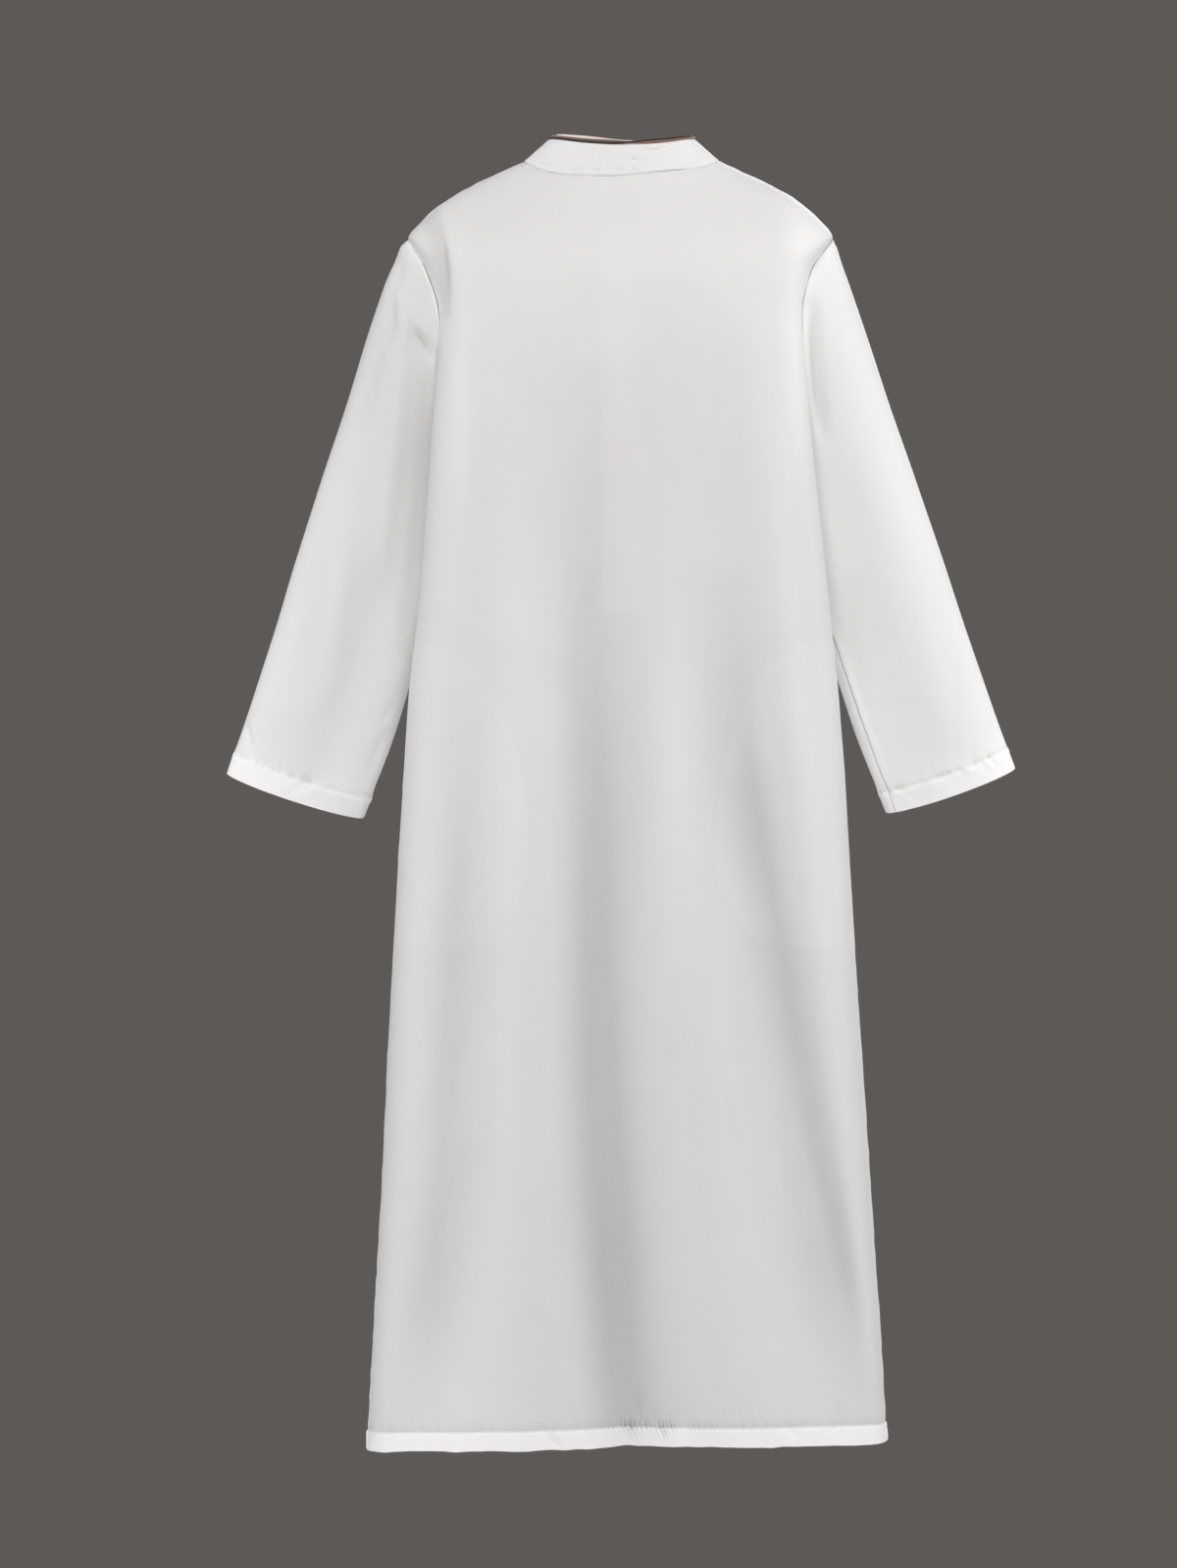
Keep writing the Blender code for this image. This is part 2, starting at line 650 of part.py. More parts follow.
def make_button(name, place, normal):
    """A button that stands on a place, facing along the normal."""
    points, faces = button_mesh()
    piece = solid(name, points, faces, BUTTON_WHITE, 0.35)
    turned = normal.to_track_quat("Z", "Y").to_matrix().to_4x4()
    piece.matrix_world = Matrix.Translation(place) @ turned
    return piece


def make_buttons(grid):
    middle = FRONT_SIDE_SPLITS + PLACKET_SPLITS // 2
    for n, z in enumerate(BUTTON_LEVELS, start=1):
        row = max(k for k in range(placket_row()) if grid[k][middle][0].z > z)
        upper, lower = grid[row][middle], grid[row + 1][middle]
        share = (upper[0].z - z) / (upper[0].z - lower[0].z)
        across = grid[row][middle + 1][0] - grid[row][middle - 1][0]
        normal = across.cross(lower[0] - upper[0]).normalized()
        if normal.y > 0:
            normal = -normal
        place = upper[0].lerp(lower[0], share) + normal * (PLACKET_WALL + 2.5 * SEAM)
        make_button(f"button_{n}", place, normal)


# ---------------------------------------------------------------- collar

def collar_angles():
    """Angles once round the neck and past centre front at both ends, where the collar's ends lap."""
    neck = panel_rows()[0]
    behind = [angle + math.tau for angle in reversed(panel_angles(neck, on_front=False))]
    front = panel_angles(neck, on_front=True)
    from_right_lap = front[FRONT_SIDE_SPLITS:-1]
    to_left_lap = [angle + math.tau for angle in front[1:FRONT_SIDE_SPLITS + PLACKET_SPLITS + 1]]
    sides = [math.pi * 1.5], [math.pi * 2.5]
    return from_right_lap + sides[0] + behind[1:-1] + sides[1] + to_left_lap


def collar_top(angle):
    """The collar's top edge above a place on the neck."""
    sine, cosine = math.sin(angle), math.cos(angle)
    y = (COLLAR_TOP_BACK_Y if cosine > 0 else COLLAR_TOP_FRONT_Y) * cosine
    dip = COLLAR_DIP_BACK if cosine > 0 else COLLAR_DIP_FRONT
    return Vector((COLLAR_TOP_HALF_WIDTH * sine, y, COLLAR_TOP_Z - dip * cosine * cosine))


def collar_lap(angle):
    """How far the collar stands out, so that its upper end lies over its lower one."""
    return COLLAR_LAP * ease((angle - LAP_START) / LAP_LENGTH)


def collar_point(angle, above, share, out):
    """A point of the collar: a share of the way up it, plus a height above that, and out from it."""
    base = body_point(0, angle)
    step = 0.01
    rise = collar_top(angle) - base
    along = body_point(0, angle + step) - body_point(0, angle - step)
    outward = rise.cross(along).normalized()
    if outward.x * base.x + outward.y * base.y < 0:
        outward = -outward
    return base + rise * share + rise.normalized() * above + outward * (out + collar_lap(angle))


def collar_layer(name, angles, levels, out, wall, colour):
    """A strip round the neck. Levels are (share of the rise, height above it) for each row."""
    outer = [collar_point(a, above(a), share, out) for share, above in levels for a in angles]
    inner = [collar_point(a, above(a), share, out - wall) for share, above in levels for a in angles]
    closed_wall(name, outer, inner, grid_faces(len(levels), len(angles)), colour)


def facing_stand(angle):
    """Height of the inner layer above the band: over the trim on the left, level with it elsewhere."""
    low, high = FACING_BACK_X if math.cos(angle) > 0 else FACING_FRONT_X
    on_left = ease((collar_top(angle).x - low) / (high - low))
    return TRIM_HEIGHT - FACING_DIP + (FACING_STAND + FACING_DIP) * on_left


def make_collar(angles):
    def flat(height):
        return lambda angle: height

    band = [(k / COLLAR_ROWS, flat(SEAM if k == 0 else 0.0)) for k in range(COLLAR_ROWS + 1)]
    collar_layer("collar_band", angles, band, 0.0, COLLAR_WALL, CLOTH)
    behind = -COLLAR_WALL - SEAM
    facing = band + [(1.0, facing_stand)]
    collar_layer("collar_facing", angles, facing, behind, COLLAR_WALL, CLOTH)
    trim = [(1.0, flat(SEAM)), (1.0, flat(TRIM_HEIGHT / 2)), (1.0, flat(TRIM_HEIGHT))]
    collar_layer("collar_trim", angles, trim, TRIM_WALL - COLLAR_WALL, TRIM_WALL, TRIM_BROWN)


def make_collar_button():
    centre = math.pi * 3
    middle = collar_point(centre, 0, 0.5, 0)
    rise = collar_point(centre, 0, 1, 0) - collar_point(centre, 0, 0, 0)
    normal = rise.cross(Vector((1, 0, 0))).normalized()
    if normal.y > 0:
        normal = -normal
    make_button("button_collar", middle + normal * (2 * SEAM), normal)


# ---------------------------------------------------------------- sleeves

def make_sleeve(name, sleeve):
    """A tube from the armhole to the cuff; the cuff is folded in and so is thicker."""
    around = 2 * ARMHOLE_ROWS
    turns = [math.tau * j / around for j in range(around)]
    starts = [sleeve_start(sleeve, turn)[1] for turn in turns]
    outer, inner = [], []
    rows = [(k / SLEEVE_ROWS, CUFF_BAND + 0.001, WALL) for k in range(SLEEVE_ROWS + 1)]
    rows += [(1.0, CUFF_BAND, FOLDED_WALL), (1.0, CUFF_BAND / 2, FOLDED_WALL), (1.0, 0.0, FOLDED_WALL)]
    for share, stop, wall in rows:
        for turn, start in zip(turns, starts):
            run = start + (stop - start) * share
            signed_turn = turn if turn <= math.pi else turn - math.tau
            normal = sleeve_normal(sleeve, signed_turn, run)
            if share == 0:
                normal = armhole_normal(sleeve, signed_turn, for_sleeve=True)
            point = sleeve_point(sleeve, signed_turn, run)
            outer.append(point)
            inner.append(point - normal * wall)
    closed_wall(name, outer, inner, grid_faces(len(rows), around, closed=True), CLOTH)


# ---------------------------------------------------------------- pocket bags

def pocket_places(grid, z, reach, side):
    """Places along the inside of the back panel at a level, from the side seam to the bag's edge."""
    flat = z - level_shift(z, math.pi / 2 * side)
    row = max(k for k in range(len(grid) - 1) if grid[k][0][0].z > flat)
    upper, lower = (grid[row], grid[row + 1]) if side > 0 else (grid[row][::-1], grid[row + 1][::-1])
    share = (upper[0][0].z - flat) / (upper[0][0].z - lower[0][0].z)
    line = [(a[1].lerp(b[1], share), a[2].lerp(b[2], share).normalized()) for a, b in zip(upper, lower)]
    last = next(k for k in range(len(line)) if abs(line[k][0].x) < reach)
    before, after = line[last - 1], line[last]
    cut = (abs(before[0].x) - reach) / (abs(before[0].x) - abs(after[0].x))
    line = line[:last] + [tuple(a.lerp(b, cut) for a, b in zip(before, after))]
    lengths = [0.0]
    for first, second in zip(line, line[1:]):
        lengths.append(lengths[-1] + (second[0] - first[0]).length)
    places, k = [], 0
    for n in range(POCKET_SPLITS + 1):
        target = POCKET_MOUTH + (lengths[-1] - POCKET_MOUTH) * n / POCKET_SPLITS
        while k < len(line) - 2 and lengths[k + 1] < target:
            k += 1
        share = (target - lengths[k]) / (lengths[k + 1] - lengths[k])
        places.append(tuple(a.lerp(b, share) for a, b in zip(line[k], line[k + 1])))
    return places


def make_pocket(name, grid, side):
    """A flat bag inside the back panel, open along the side seam: two leaves joined round their edge."""
    outer, inner = [], []
    thick = 2 * POCKET_LEAF + POCKET_HOLLOW
    ends = len(POCKET_LEVELS) - 1
    for n, z in enumerate(POCKET_LEVELS):
        places = pocket_places(grid, z, smooth(POCKET_COLUMNS, POCKET, "reach", z), side)
        inset = POCKET_LEAF if n == 0 else -POCKET_LEAF if n == ends else 0.0
        lift = Vector((0, 0, -inset))
        edge = (places[-1][0] - places[-2][0]).normalized()
        aside = [POCKET_CLEARANCE + POCKET_STAND_OFF * ease(k / 4) for k in range(len(places))]
        leaves = [place - normal * away for (place, normal), away in zip(places, aside)]
        behind = [place - normal * (away + thick) for (place, normal), away in zip(places, aside)]
        fold = (leaves[-1] + behind[-1]) / 2 + edge * (thick / 2)
        outer += leaves + [fold] + behind[::-1]
        hollow = [leaf - normal * POCKET_LEAF + lift for leaf, (_, normal) in zip(leaves, places)]
        beyond = [point - normal * POCKET_HOLLOW for point, (_, normal) in zip(hollow, places)]
        inner_fold = (hollow[-1] + beyond[-1]) / 2 + edge * (POCKET_HOLLOW / 2)
        inner += hollow + [inner_fold] + beyond[::-1]
    columns = 2 * (POCKET_SPLITS + 1) + 1
    faces = grid_faces(len(POCKET_LEVELS), columns)
    base = ends * columns
    for k in range(POCKET_SPLITS):
        opposite = columns - 1 - k
        faces.append((k + 1, k, opposite, opposite - 1))
        faces.append((base + k, base + k + 1, base + opposite - 1, base + opposite))
    tip = POCKET_SPLITS + 1
    faces.append((tip, tip - 1, tip + 1))
    faces.append((base + tip - 1, base + tip, base + tip + 1))
    closed_wall(name, outer, inner, faces, CLOTH)


# ---------------------------------------------------------------- the whole garment

def clear_scene():
    for piece in list(bpy.data.objects):
        bpy.data.objects.remove(piece, do_unlink=True)


def main():
    clear_scene()
    back = panel_grid(on_front=False)
    front = panel_grid(on_front=True)
    make_back_panel(back)
    make_front_panel(front)
    make_placket("placket_over", front, side_out=True)
    make_placket("placket_under", front, side_out=False)
    make_buttons(front)
    for name, sleeve in SLEEVES.items():
        make_sleeve(name, sleeve)
    angles = collar_angles()
    make_collar(angles)
    make_collar_button()
    make_pocket("pocket_left", back, 1)
    make_pocket("pocket_right", back, -1)


main()
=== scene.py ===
"""Looks of a long white thobe robe, seen from behind: cloth shells on the solids' form, with seams, hems,
stitching, a corded collar edge, and the layers that show faintly through the thin cloth."""
import math

import bpy
import numpy as np
from mathutils import Matrix, Vector


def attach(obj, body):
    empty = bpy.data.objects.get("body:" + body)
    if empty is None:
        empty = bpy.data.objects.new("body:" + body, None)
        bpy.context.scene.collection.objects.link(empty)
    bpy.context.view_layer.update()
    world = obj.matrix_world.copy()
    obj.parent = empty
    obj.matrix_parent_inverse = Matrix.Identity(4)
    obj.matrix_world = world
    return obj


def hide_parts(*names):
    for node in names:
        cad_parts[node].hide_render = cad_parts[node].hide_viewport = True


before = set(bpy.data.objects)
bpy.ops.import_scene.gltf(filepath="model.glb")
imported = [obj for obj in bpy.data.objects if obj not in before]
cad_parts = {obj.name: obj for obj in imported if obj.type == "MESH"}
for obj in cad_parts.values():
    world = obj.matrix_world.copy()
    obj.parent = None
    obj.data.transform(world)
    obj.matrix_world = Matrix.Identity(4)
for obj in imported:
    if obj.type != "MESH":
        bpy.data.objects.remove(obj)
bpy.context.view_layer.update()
scene = bpy.context.scene

# ---------------- sizes, in metres

SEAM = 0.0001  # between two solids' edges at a seam
TIP_Z = -0.085  # the shoulder points
UNDERARM_Z = -0.305
ARMHOLE_HALF_DEPTH = 0.050
CREASE_GAP = 4  # how many times wider the gap at the underarm is
NECK_FADE_Z = -0.20  # the level down to which the neck's drop reaches
NECK_DROP_BACK = 0.019
NECK_DROP_FRONT = 0.055
NECK_RISE = 0.0055  # how far the neck seam at the back rises towards the wearer's right
NECK_RISE_X = -0.056
NECK_RISE_WIDTH = 0.036
HEM_Z = -1.3935
HEM_BAND = 0.021
HEM_LINE = HEM_Z + HEM_BAND  # where the hem is stitched
HEM_RISE = 0.0075  # how much higher the hem is at the middle than at the sides
HEM_TILT = 0.0043  # and how much lower on the wearer's left
HEM_FADE_Z = -0.80
PLACKET_LEFT = 0.025
PLACKET_RIGHT = -0.027
PLACKET_END_Z = -0.498
SLIT_END_Z = -0.46
SLEEVE_RUN = 0.56
SLEEVE_SWING = math.radians(12)
CUFF_BAND = 0.025
CUFF_Y = -0.117
SETTLE_TOP = 0.06  # how far below its start a sleeve becomes straight, at the shoulder
SETTLE_UNDER = 0.17  # and under the arm
COLLAR_TOP_HALF_WIDTH = 0.079
COLLAR_TOP_BACK_Y = 0.041
COLLAR_TOP_FRONT_Y = 0.047
COLLAR_TOP_Z = 0.0245
COLLAR_DIP_BACK = 0.0092
COLLAR_DIP_FRONT = 0.0445
COLLAR_LAP = 0.0034  # how far out the collar's upper end lies where it laps over the lower one
LAP_START = math.radians(482)
LAP_LENGTH = math.radians(38)
LAP_ANGLE = math.radians(13.6)

SHELL = 0.0009  # how thick a cloth shell is made
FOLDED = 0.0017  # and where it is turned in at a hem
SUNK = 0.0003  # how far the shells' outsides lie inside the solids'
SEW_IN = 0.0022  # from an edge to the stitching beside it
CORD_TURN = 8  # corners of a cord
STITCH_TURN = 6  # corners of a stitch
HOLE_TURN = 12  # corners of a button's hole

# z, left, right, middle, behind, before, square, seam
BODY = (
    (0.000, 0.1070, 0.1062, 0.000, 0.045, 0.055, 2.00, 0.000),
    (-0.035, 0.1786, 0.1787, 0.000, 0.066, 0.078, 2.05, 0.000),
    (-0.067, 0.2192, 0.2178, 0.002, 0.084, 0.099, 2.15, 0.002),
    (-0.085, 0.2320, 0.2295, 0.004, 0.092, 0.108, 2.25, 0.004),
    (-0.119, 0.2170, 0.2100, 0.014, 0.096, 0.124, 2.40, 0.004),
    (-0.161, 0.2010, 0.1975, 0.028, 0.089, 0.144, 2.55, 0.000),
    (-0.210, 0.1996, 0.1985, 0.038, 0.082, 0.159, 2.70, -0.006),
    (-0.305, 0.2066, 0.2060, 0.042, 0.078, 0.166, 2.80, -0.022),
    (-0.450, 0.2170, 0.2220, 0.030, 0.087, 0.151, 2.80, -0.018),
    (-0.600, 0.2322, 0.2362, 0.015, 0.102, 0.136, 2.75, -0.010),
    (-0.900, 0.2508, 0.2562, 0.006, 0.120, 0.134, 2.60, -0.004),
    (-1.200, 0.2662, 0.2758, 0.003, 0.135, 0.141, 2.45, 0.000),
    (-1.400, 0.2772, 0.2888, 0.000, 0.145, 0.145, 2.35, 0.000),
)
LEFT, RIGHT, MIDDLE, BEHIND, BEFORE, SQUARE, SIDE_SEAM = range(1, 8)

# z, middle, half, depth
HOLLOW = (
    (-0.085, 0.000, 0.050, 0.000),
    (-0.160, -0.005, 0.055, 0.016),
    (-0.240, -0.014, 0.060, 0.036),
    (-0.305, -0.022, 0.064, 0.046),
    (-0.360, -0.036, 0.066, 0.040),
    (-0.430, -0.055, 0.066, 0.016),
    (-0.500, -0.070, 0.066, 0.000),
)

# top, bottom, x at top, middle and bottom, half width, depth
BACK_FOLDS = (
    (-0.30, -1.75, 0.030, 0.026, -0.062, 0.034, 0.013),
    (-0.05, -0.24, 0.193, 0.196, 0.190, 0.014, 0.006),
    (-0.11, -0.80, -0.172, -0.190, -0.232, 0.016, 0.005),
    (-0.70, -1.75, 0.110, 0.108, 0.120, 0.045, -0.008),
    (-0.70, -1.75, -0.075, -0.090, -0.150, 0.045, -0.008),
)
FRONT_FOLDS = (
    (-0.58, -1.65, 0.120, 0.140, 0.175, 0.032, 0.012),
    (-0.50, -1.80, -0.012, -0.020, 0.020, 0.036, 0.012),
    (-0.66, -1.60, -0.110, -0.135, -0.190, 0.030, 0.010),
    (-0.75, -1.80, 0.065, 0.075, 0.090, 0.040, -0.008),
    (-0.80, -1.80, -0.065, -0.080, -0.100, 0.040, -0.007),
)

# half width to the wearer's left and right, depth, share left at the hem, and the line as (z, x)
DEEP_FOLDS = (
    (0.052, 0.076, 0.0300, 0.85, (
        (-0.22, 0.040), (-0.34, 0.034), (-0.46, 0.030), (-0.60, 0.028), (-0.76, 0.026), (-0.90, 0.024),
        (-1.02, 0.020), (-1.14, 0.014), (-1.26, 0.005), (-1.40, -0.010),
    )),
    (0.043, 0.043, 0.0235, 0.40, (
        (-0.52, 0.155), (-0.76, 0.157), (-0.90, 0.163), (-1.00, 0.168), (-1.10, 0.173), (-1.19, 0.188),
        (-1.29, 0.208), (-1.40, 0.232),
    )),
    (0.070, 0.030, 0.0285, 0.45, (
        (-0.44, -0.100), (-0.56, -0.121), (-0.66, -0.136), (-0.76, -0.152), (-0.86, -0.166),
        (-0.96, -0.180), (-1.06, -0.197), (-1.16, -0.218), (-1.28, -0.243), (-1.40, -0.268),
    )),
    (0.050, 0.042, 0.0070, 0.00, (
        (-0.12, -0.076), (-0.30, -0.092), (-0.48, -0.116), (-0.66, -0.134), (-0.84, -0.150),
    )),
)

# share from armhole to cuff, outer, inner, depth
SLEEVE_SECTIONS = (
    (0.00, 0.0742, 0.0760, 0.050),
    (0.45, 0.0750, 0.0800, 0.047),
    (0.80, 0.0758, 0.0822, 0.038),
    (1.00, 0.0769, 0.0769, 0.028),
)
SLEEVES = {
    "left": {"side": 1, "cuff_x": 0.3594, "cuff_z": -0.6887, "lean": 18.1, "fullness": 1.023},
    "right": {"side": -1, "cuff_x": 0.3630, "cuff_z": -0.6833, "lean": 19.2, "fullness": 0.970},
}

# z and reach of each pocket bag's inner edge
POCKET = (
    (-0.524, 0.203),
    (-0.545, 0.158),
    (-0.590, 0.130),
    (-0.650, 0.109),
    (-0.715, 0.099),
    (-0.775, 0.101),
    (-0.820, 0.119),
    (-0.846, 0.148),
    (-0.859, 0.203),
)

# ---------------- mesh density

SHOULDER_ROWS = 22
ARMHOLE_ROWS = 60
WAIST_ROWS = 24
SKIRT_ROWS = 104
HEM_ROWS = 10
ROW_GAP = 0.0012  # from a stitched row to the row above it
BACK_COLUMNS = 220
SIDE_COLUMNS = 96
PUCKER_CENTRE = 0.56  # where across the back the hem's stitching pulls most, and columns are closest
PUCKER_SPREAD = 0.08
BAND_COLUMNS = 20
BAND = slice(SIDE_COLUMNS, SIDE_COLUMNS + BAND_COLUMNS + 1)  # the front's columns that the placket covers
SLEEVE_ROWS = 130
BESIDE_SEAM = (-0.040, -0.026, -0.013, 0, 0.013, 0.026, 0.040)  # turns of extra columns at the underarm seam
CUFF_ROWS = 10
COLLAR_COLUMNS = 380
COLLAR_ROWS = 14
CORD_RINGS = 760


# ---------------- small helpers

def along(rows, column, at):
    """A table column's values at places between its rows, on a smooth curve through them."""
    table = np.array(rows, float)
    if table[0, 0] > table[-1, 0]:
        table = table[::-1]
    z, v = table[:, 0], table[:, column]
    slope = np.empty_like(v)
    slope[1:-1] = (v[2:] - v[:-2]) / (z[2:] - z[:-2])
    slope[0] = (v[1] - v[0]) / (z[1] - z[0])
    slope[-1] = (v[-1] - v[-2]) / (z[-1] - z[-2])
    at = np.asarray(at, float)
    k = np.clip(np.searchsorted(z, at) - 1, 0, len(z) - 2)
    span = z[k + 1] - z[k]
    t = (at - z[k]) / span
    u = np.clip(t, 0, 1)
    value = (
        v[k] * (1 + 2 * u) * (1 - u) ** 2
        + slope[k] * span * u * (1 - u) ** 2
        + v[k + 1] * u * u * (3 - 2 * u)
        + slope[k + 1] * span * u * u * (u - 1)
    )
    value = value + np.where(t < 0, slope[k] * span * t, 0)
    return value + np.where(t > 1, slope[k + 1] * span * (t - 1), 0)


def ease(t):
    t = np.clip(t, 0, 1)
    return t * t * (3 - 2 * t)


def ramp(at, start, width):
    """0 before a start, then a smooth rise to 1 over a width; a negative width rises the other way."""
    return ease((at - start) / width)


def bell(offset, width):
    """1 at no offset, falling off smoothly on both sides."""
    return np.exp(-((offset / width) ** 2))


def fading(distance, length):
    """1 up to a line, then fading with the distance from it."""
    return np.exp(-np.clip(distance, 0, None) / length)


def groove(distance, width, depth):
    return -depth * bell(distance, width)


def unit(v):
    return v / np.maximum(np.linalg.norm(v, axis=-1, keepdims=True), 1e-12)


def vector(x, y, z):
    return np.stack(np.broadcast_arrays(x, y, z), axis=-1)


def noise(x, y, size, seed):
    """Smooth noise from -1 to 1 over a plane, with features of a given size."""
    table = np.random.RandomState(seed).rand(64, 64) * 2 - 1
    u, v = np.asarray(x) / size + 7.3, np.asarray(y) / size + 3.1
    i, j = np.floor(u).astype(int), np.floor(v).astype(int)
    fu, fv = ease(u - i), ease(v - j)
    i0, i1, j0, j1 = i % 64, (i + 1) % 64, j % 64, (j + 1) % 64
    top = table[i0, j0] * (1 - fu) + table[i1, j0] * fu
    low = table[i0, j1] * (1 - fu) + table[i1, j1] * fu
    return top * (1 - fv) + low * fv


def lengths_along(points, axis=0):
    """How far each point is along its line of points."""
    steps = np.linalg.norm(np.diff(points, axis=axis), axis=-1)
    return np.insert(np.cumsum(steps, axis=axis), 0, 0, axis=axis)


def places_at(lengths, reached, path):
    """Points of a path at given lengths along it, from the lengths its own points have reached."""
    return np.stack([np.interp(lengths, reached, path[:, k]) for k in range(3)], axis=1)


# ---------------- the garment's form, as its solids have it

def hollow_depth(z, y):
    reach = (y - along(HOLLOW, 1, z)) / along(HOLLOW, 2, z)
    depth = along(HOLLOW, 3, z) * np.clip(1 - reach * reach, 0, None) ** 2
    return np.where((z < HOLLOW[0][0]) & (z > HOLLOW[-1][0]), depth, 0)


def fold_depth(folds, x, z):
    """How deep soft folds are, each on a curve through three places and fading to both ends."""
    total = np.zeros(np.broadcast(x, z).shape)
    for top, bottom, x_top, x_middle, x_bottom, half, depth in folds:
        t = (z - top) / (bottom - top)
        centre = x_top * (1 - t) * (1 - 2 * t) + x_middle * 4 * t * (1 - t) + x_bottom * t * (2 * t - 1)
        total += depth * np.sin(math.pi * np.clip(t, 0, 1)) ** 1.2 * bell(x - centre, half)
    return total


def deep_fold_depth(x, z):
    """How deep the back's long folds are: steeper on one side, and shallower again at the hem."""
    total = np.zeros(np.broadcast(x, z).shape)
    for half_left, half_right, depth, left_at_hem, line in DEEP_FOLDS:
        top, bottom = line[0][0], line[-1][0]
        t = np.clip((z - top) / (bottom - top), 0, None)
        offset = x - along(line, 1, np.maximum(z, bottom))
        strength = ease(t / 0.40) ** 0.6 * (1 - (1 - left_at_hem) * ramp(t, 0.78, 0.22))
        total += depth * strength * bell(offset, np.where(offset > 0, half_left, half_right))
    return total


def body_point(z, angle):
    """Points on the outside of the body; the angle runs from centre back over the wearer's left."""
    z, angle = np.broadcast_arrays(np.asarray(z, float), np.asarray(angle, float))
    sine, cosine = np.sin(angle), np.cos(angle)
    at_back = cosine > 0
    power = 2 / along(BODY, SQUARE, z)
    half = np.where(sine > 0, along(BODY, LEFT, z), along(BODY, RIGHT, z))
    depth = np.where(at_back, along(BODY, BEHIND, z), along(BODY, BEFORE, z))
    x = half * np.sign(sine) * np.abs(sine) ** power
    y = along(BODY, MIDDLE, z) + depth * np.sign(cosine) * np.abs(cosine) ** power
    x = x - np.sign(x) * hollow_depth(z, y)
    behind = fold_depth(BACK_FOLDS, x, z) + deep_fold_depth(x, z)
    folds = np.where(at_back, behind, fold_depth(FRONT_FOLDS, x, z))
    y = y - np.sign(cosine) * folds * ease(np.abs(cosine) / 0.6)
    neck_drop = np.where(at_back, NECK_DROP_BACK, NECK_DROP_FRONT)
    neck_drop = neck_drop * np.clip(1 - z / NECK_FADE_Z, 0, None) ** 2
    neck_rise = np.where(at_back, NECK_RISE * bell(x - NECK_RISE_X, NECK_RISE_WIDTH), 0)
    neck_rise = neck_rise * np.clip(1 + z / 0.045, 0, 1) ** 2
    hem = ramp(z, HEM_FADE_Z, HEM_Z - HEM_FADE_Z) * (HEM_RISE * cosine * cosine - HEM_TILT * sine)
    return vector(x, y, z + neck_rise + hem - neck_drop * (1 - sine**4))


def body_normal(z, angle):
    step = 0.002
    down = body_point(z - step, angle) - body_point(z + step, angle)
    across = body_point(z, angle + step) - body_point(z, angle - step)
    return unit(np.cross(across, down))


def angle_at_depth(z, y, side):
    offset = y - along(BODY, MIDDLE, z)
    depth = np.where(offset > 0, along(BODY, BEHIND, z), along(BODY, BEFORE, z))
    cosine = np.sign(offset) * np.minimum(np.abs(offset) / depth, 1) ** (along(BODY, SQUARE, z) / 2)
    return side * np.arccos(cosine)


def front_angle(z, x):
    """The angle at which the front is at a given x."""
    half = along(BODY, LEFT if x > 0 else RIGHT, z)
    return math.pi - np.sign(x) * np.arcsin(np.minimum(abs(x) / half, 1) ** (along(BODY, SQUARE, z) / 2))


def spread(z, start, end, shares):
    """Angles that divide one row's outline at shares of its length."""
    angles = np.linspace(start, end, 240)
    lengths = lengths_along(body_point(z, angles))
    return np.interp(shares * lengths[-1], lengths, angles)


def armhole_place(turn, grow):
    """Level and depth of the armhole at a turn from the shoulder point, at a distance outside it."""
    sink = (1 - np.cos(turn)) / 2
    grow = grow * (1 + (CREASE_GAP - 1) * sink)
    top, under = along(BODY, SIDE_SEAM, TIP_Z), along(BODY, SIDE_SEAM, UNDERARM_Z)
    z = TIP_Z + (UNDERARM_Z - TIP_Z) * sink + grow * np.cos(turn)
    return z, top + (under - top) * sink + (ARMHOLE_HALF_DEPTH + grow) * np.sin(turn)


def sleeve_axes(sleeve):
    """The cuff's centre, and the directions down the sleeve, outwards across it and to the back."""
    side, lean = sleeve["side"], math.radians(sleeve["lean"])
    cuff = np.array([side * sleeve["cuff_x"], CUFF_Y, sleeve["cuff_z"]])
    cos_swing, sin_swing = math.cos(SLEEVE_SWING), math.sin(SLEEVE_SWING)
    down = np.array([side * math.sin(lean) * cos_swing, -sin_swing, -math.cos(lean) * cos_swing])
    out = np.array([side * math.cos(lean), 0, math.sin(lean)])
    back = np.array([side * math.sin(lean) * sin_swing, cos_swing, -math.cos(lean) * sin_swing])
    return cuff, down, out, back


def tube_point(sleeve, turn, run):
    """Points on a straight sleeve, at a turn from its outer edge and a run up from the cuff."""
    cuff, down, out, back = sleeve_axes(sleeve)
    share = np.clip(1 - run / SLEEVE_RUN, 0, 1)
    outer, inner = along(SLEEVE_SECTIONS, 1, share), along(SLEEVE_SECTIONS, 2, share)
    reach = np.where(np.cos(turn) > 0, outer, inner) * np.cos(turn) * sleeve["fullness"]
    depth = along(SLEEVE_SECTIONS, 3, share) * np.sin(turn) * sleeve["fullness"]
    return cuff - down * run[..., None] + out * reach[..., None] + back * depth[..., None]


def sleeve_start(sleeve, turn):
    """Points of the sleeve's edge at the armhole, and their runs."""
    cuff, down, _, _ = sleeve_axes(sleeve)
    z, y = armhole_place(turn, -SEAM / 2)
    start = body_point(z, angle_at_depth(z, y, sleeve["side"]))
    return start, (cuff - start) @ down


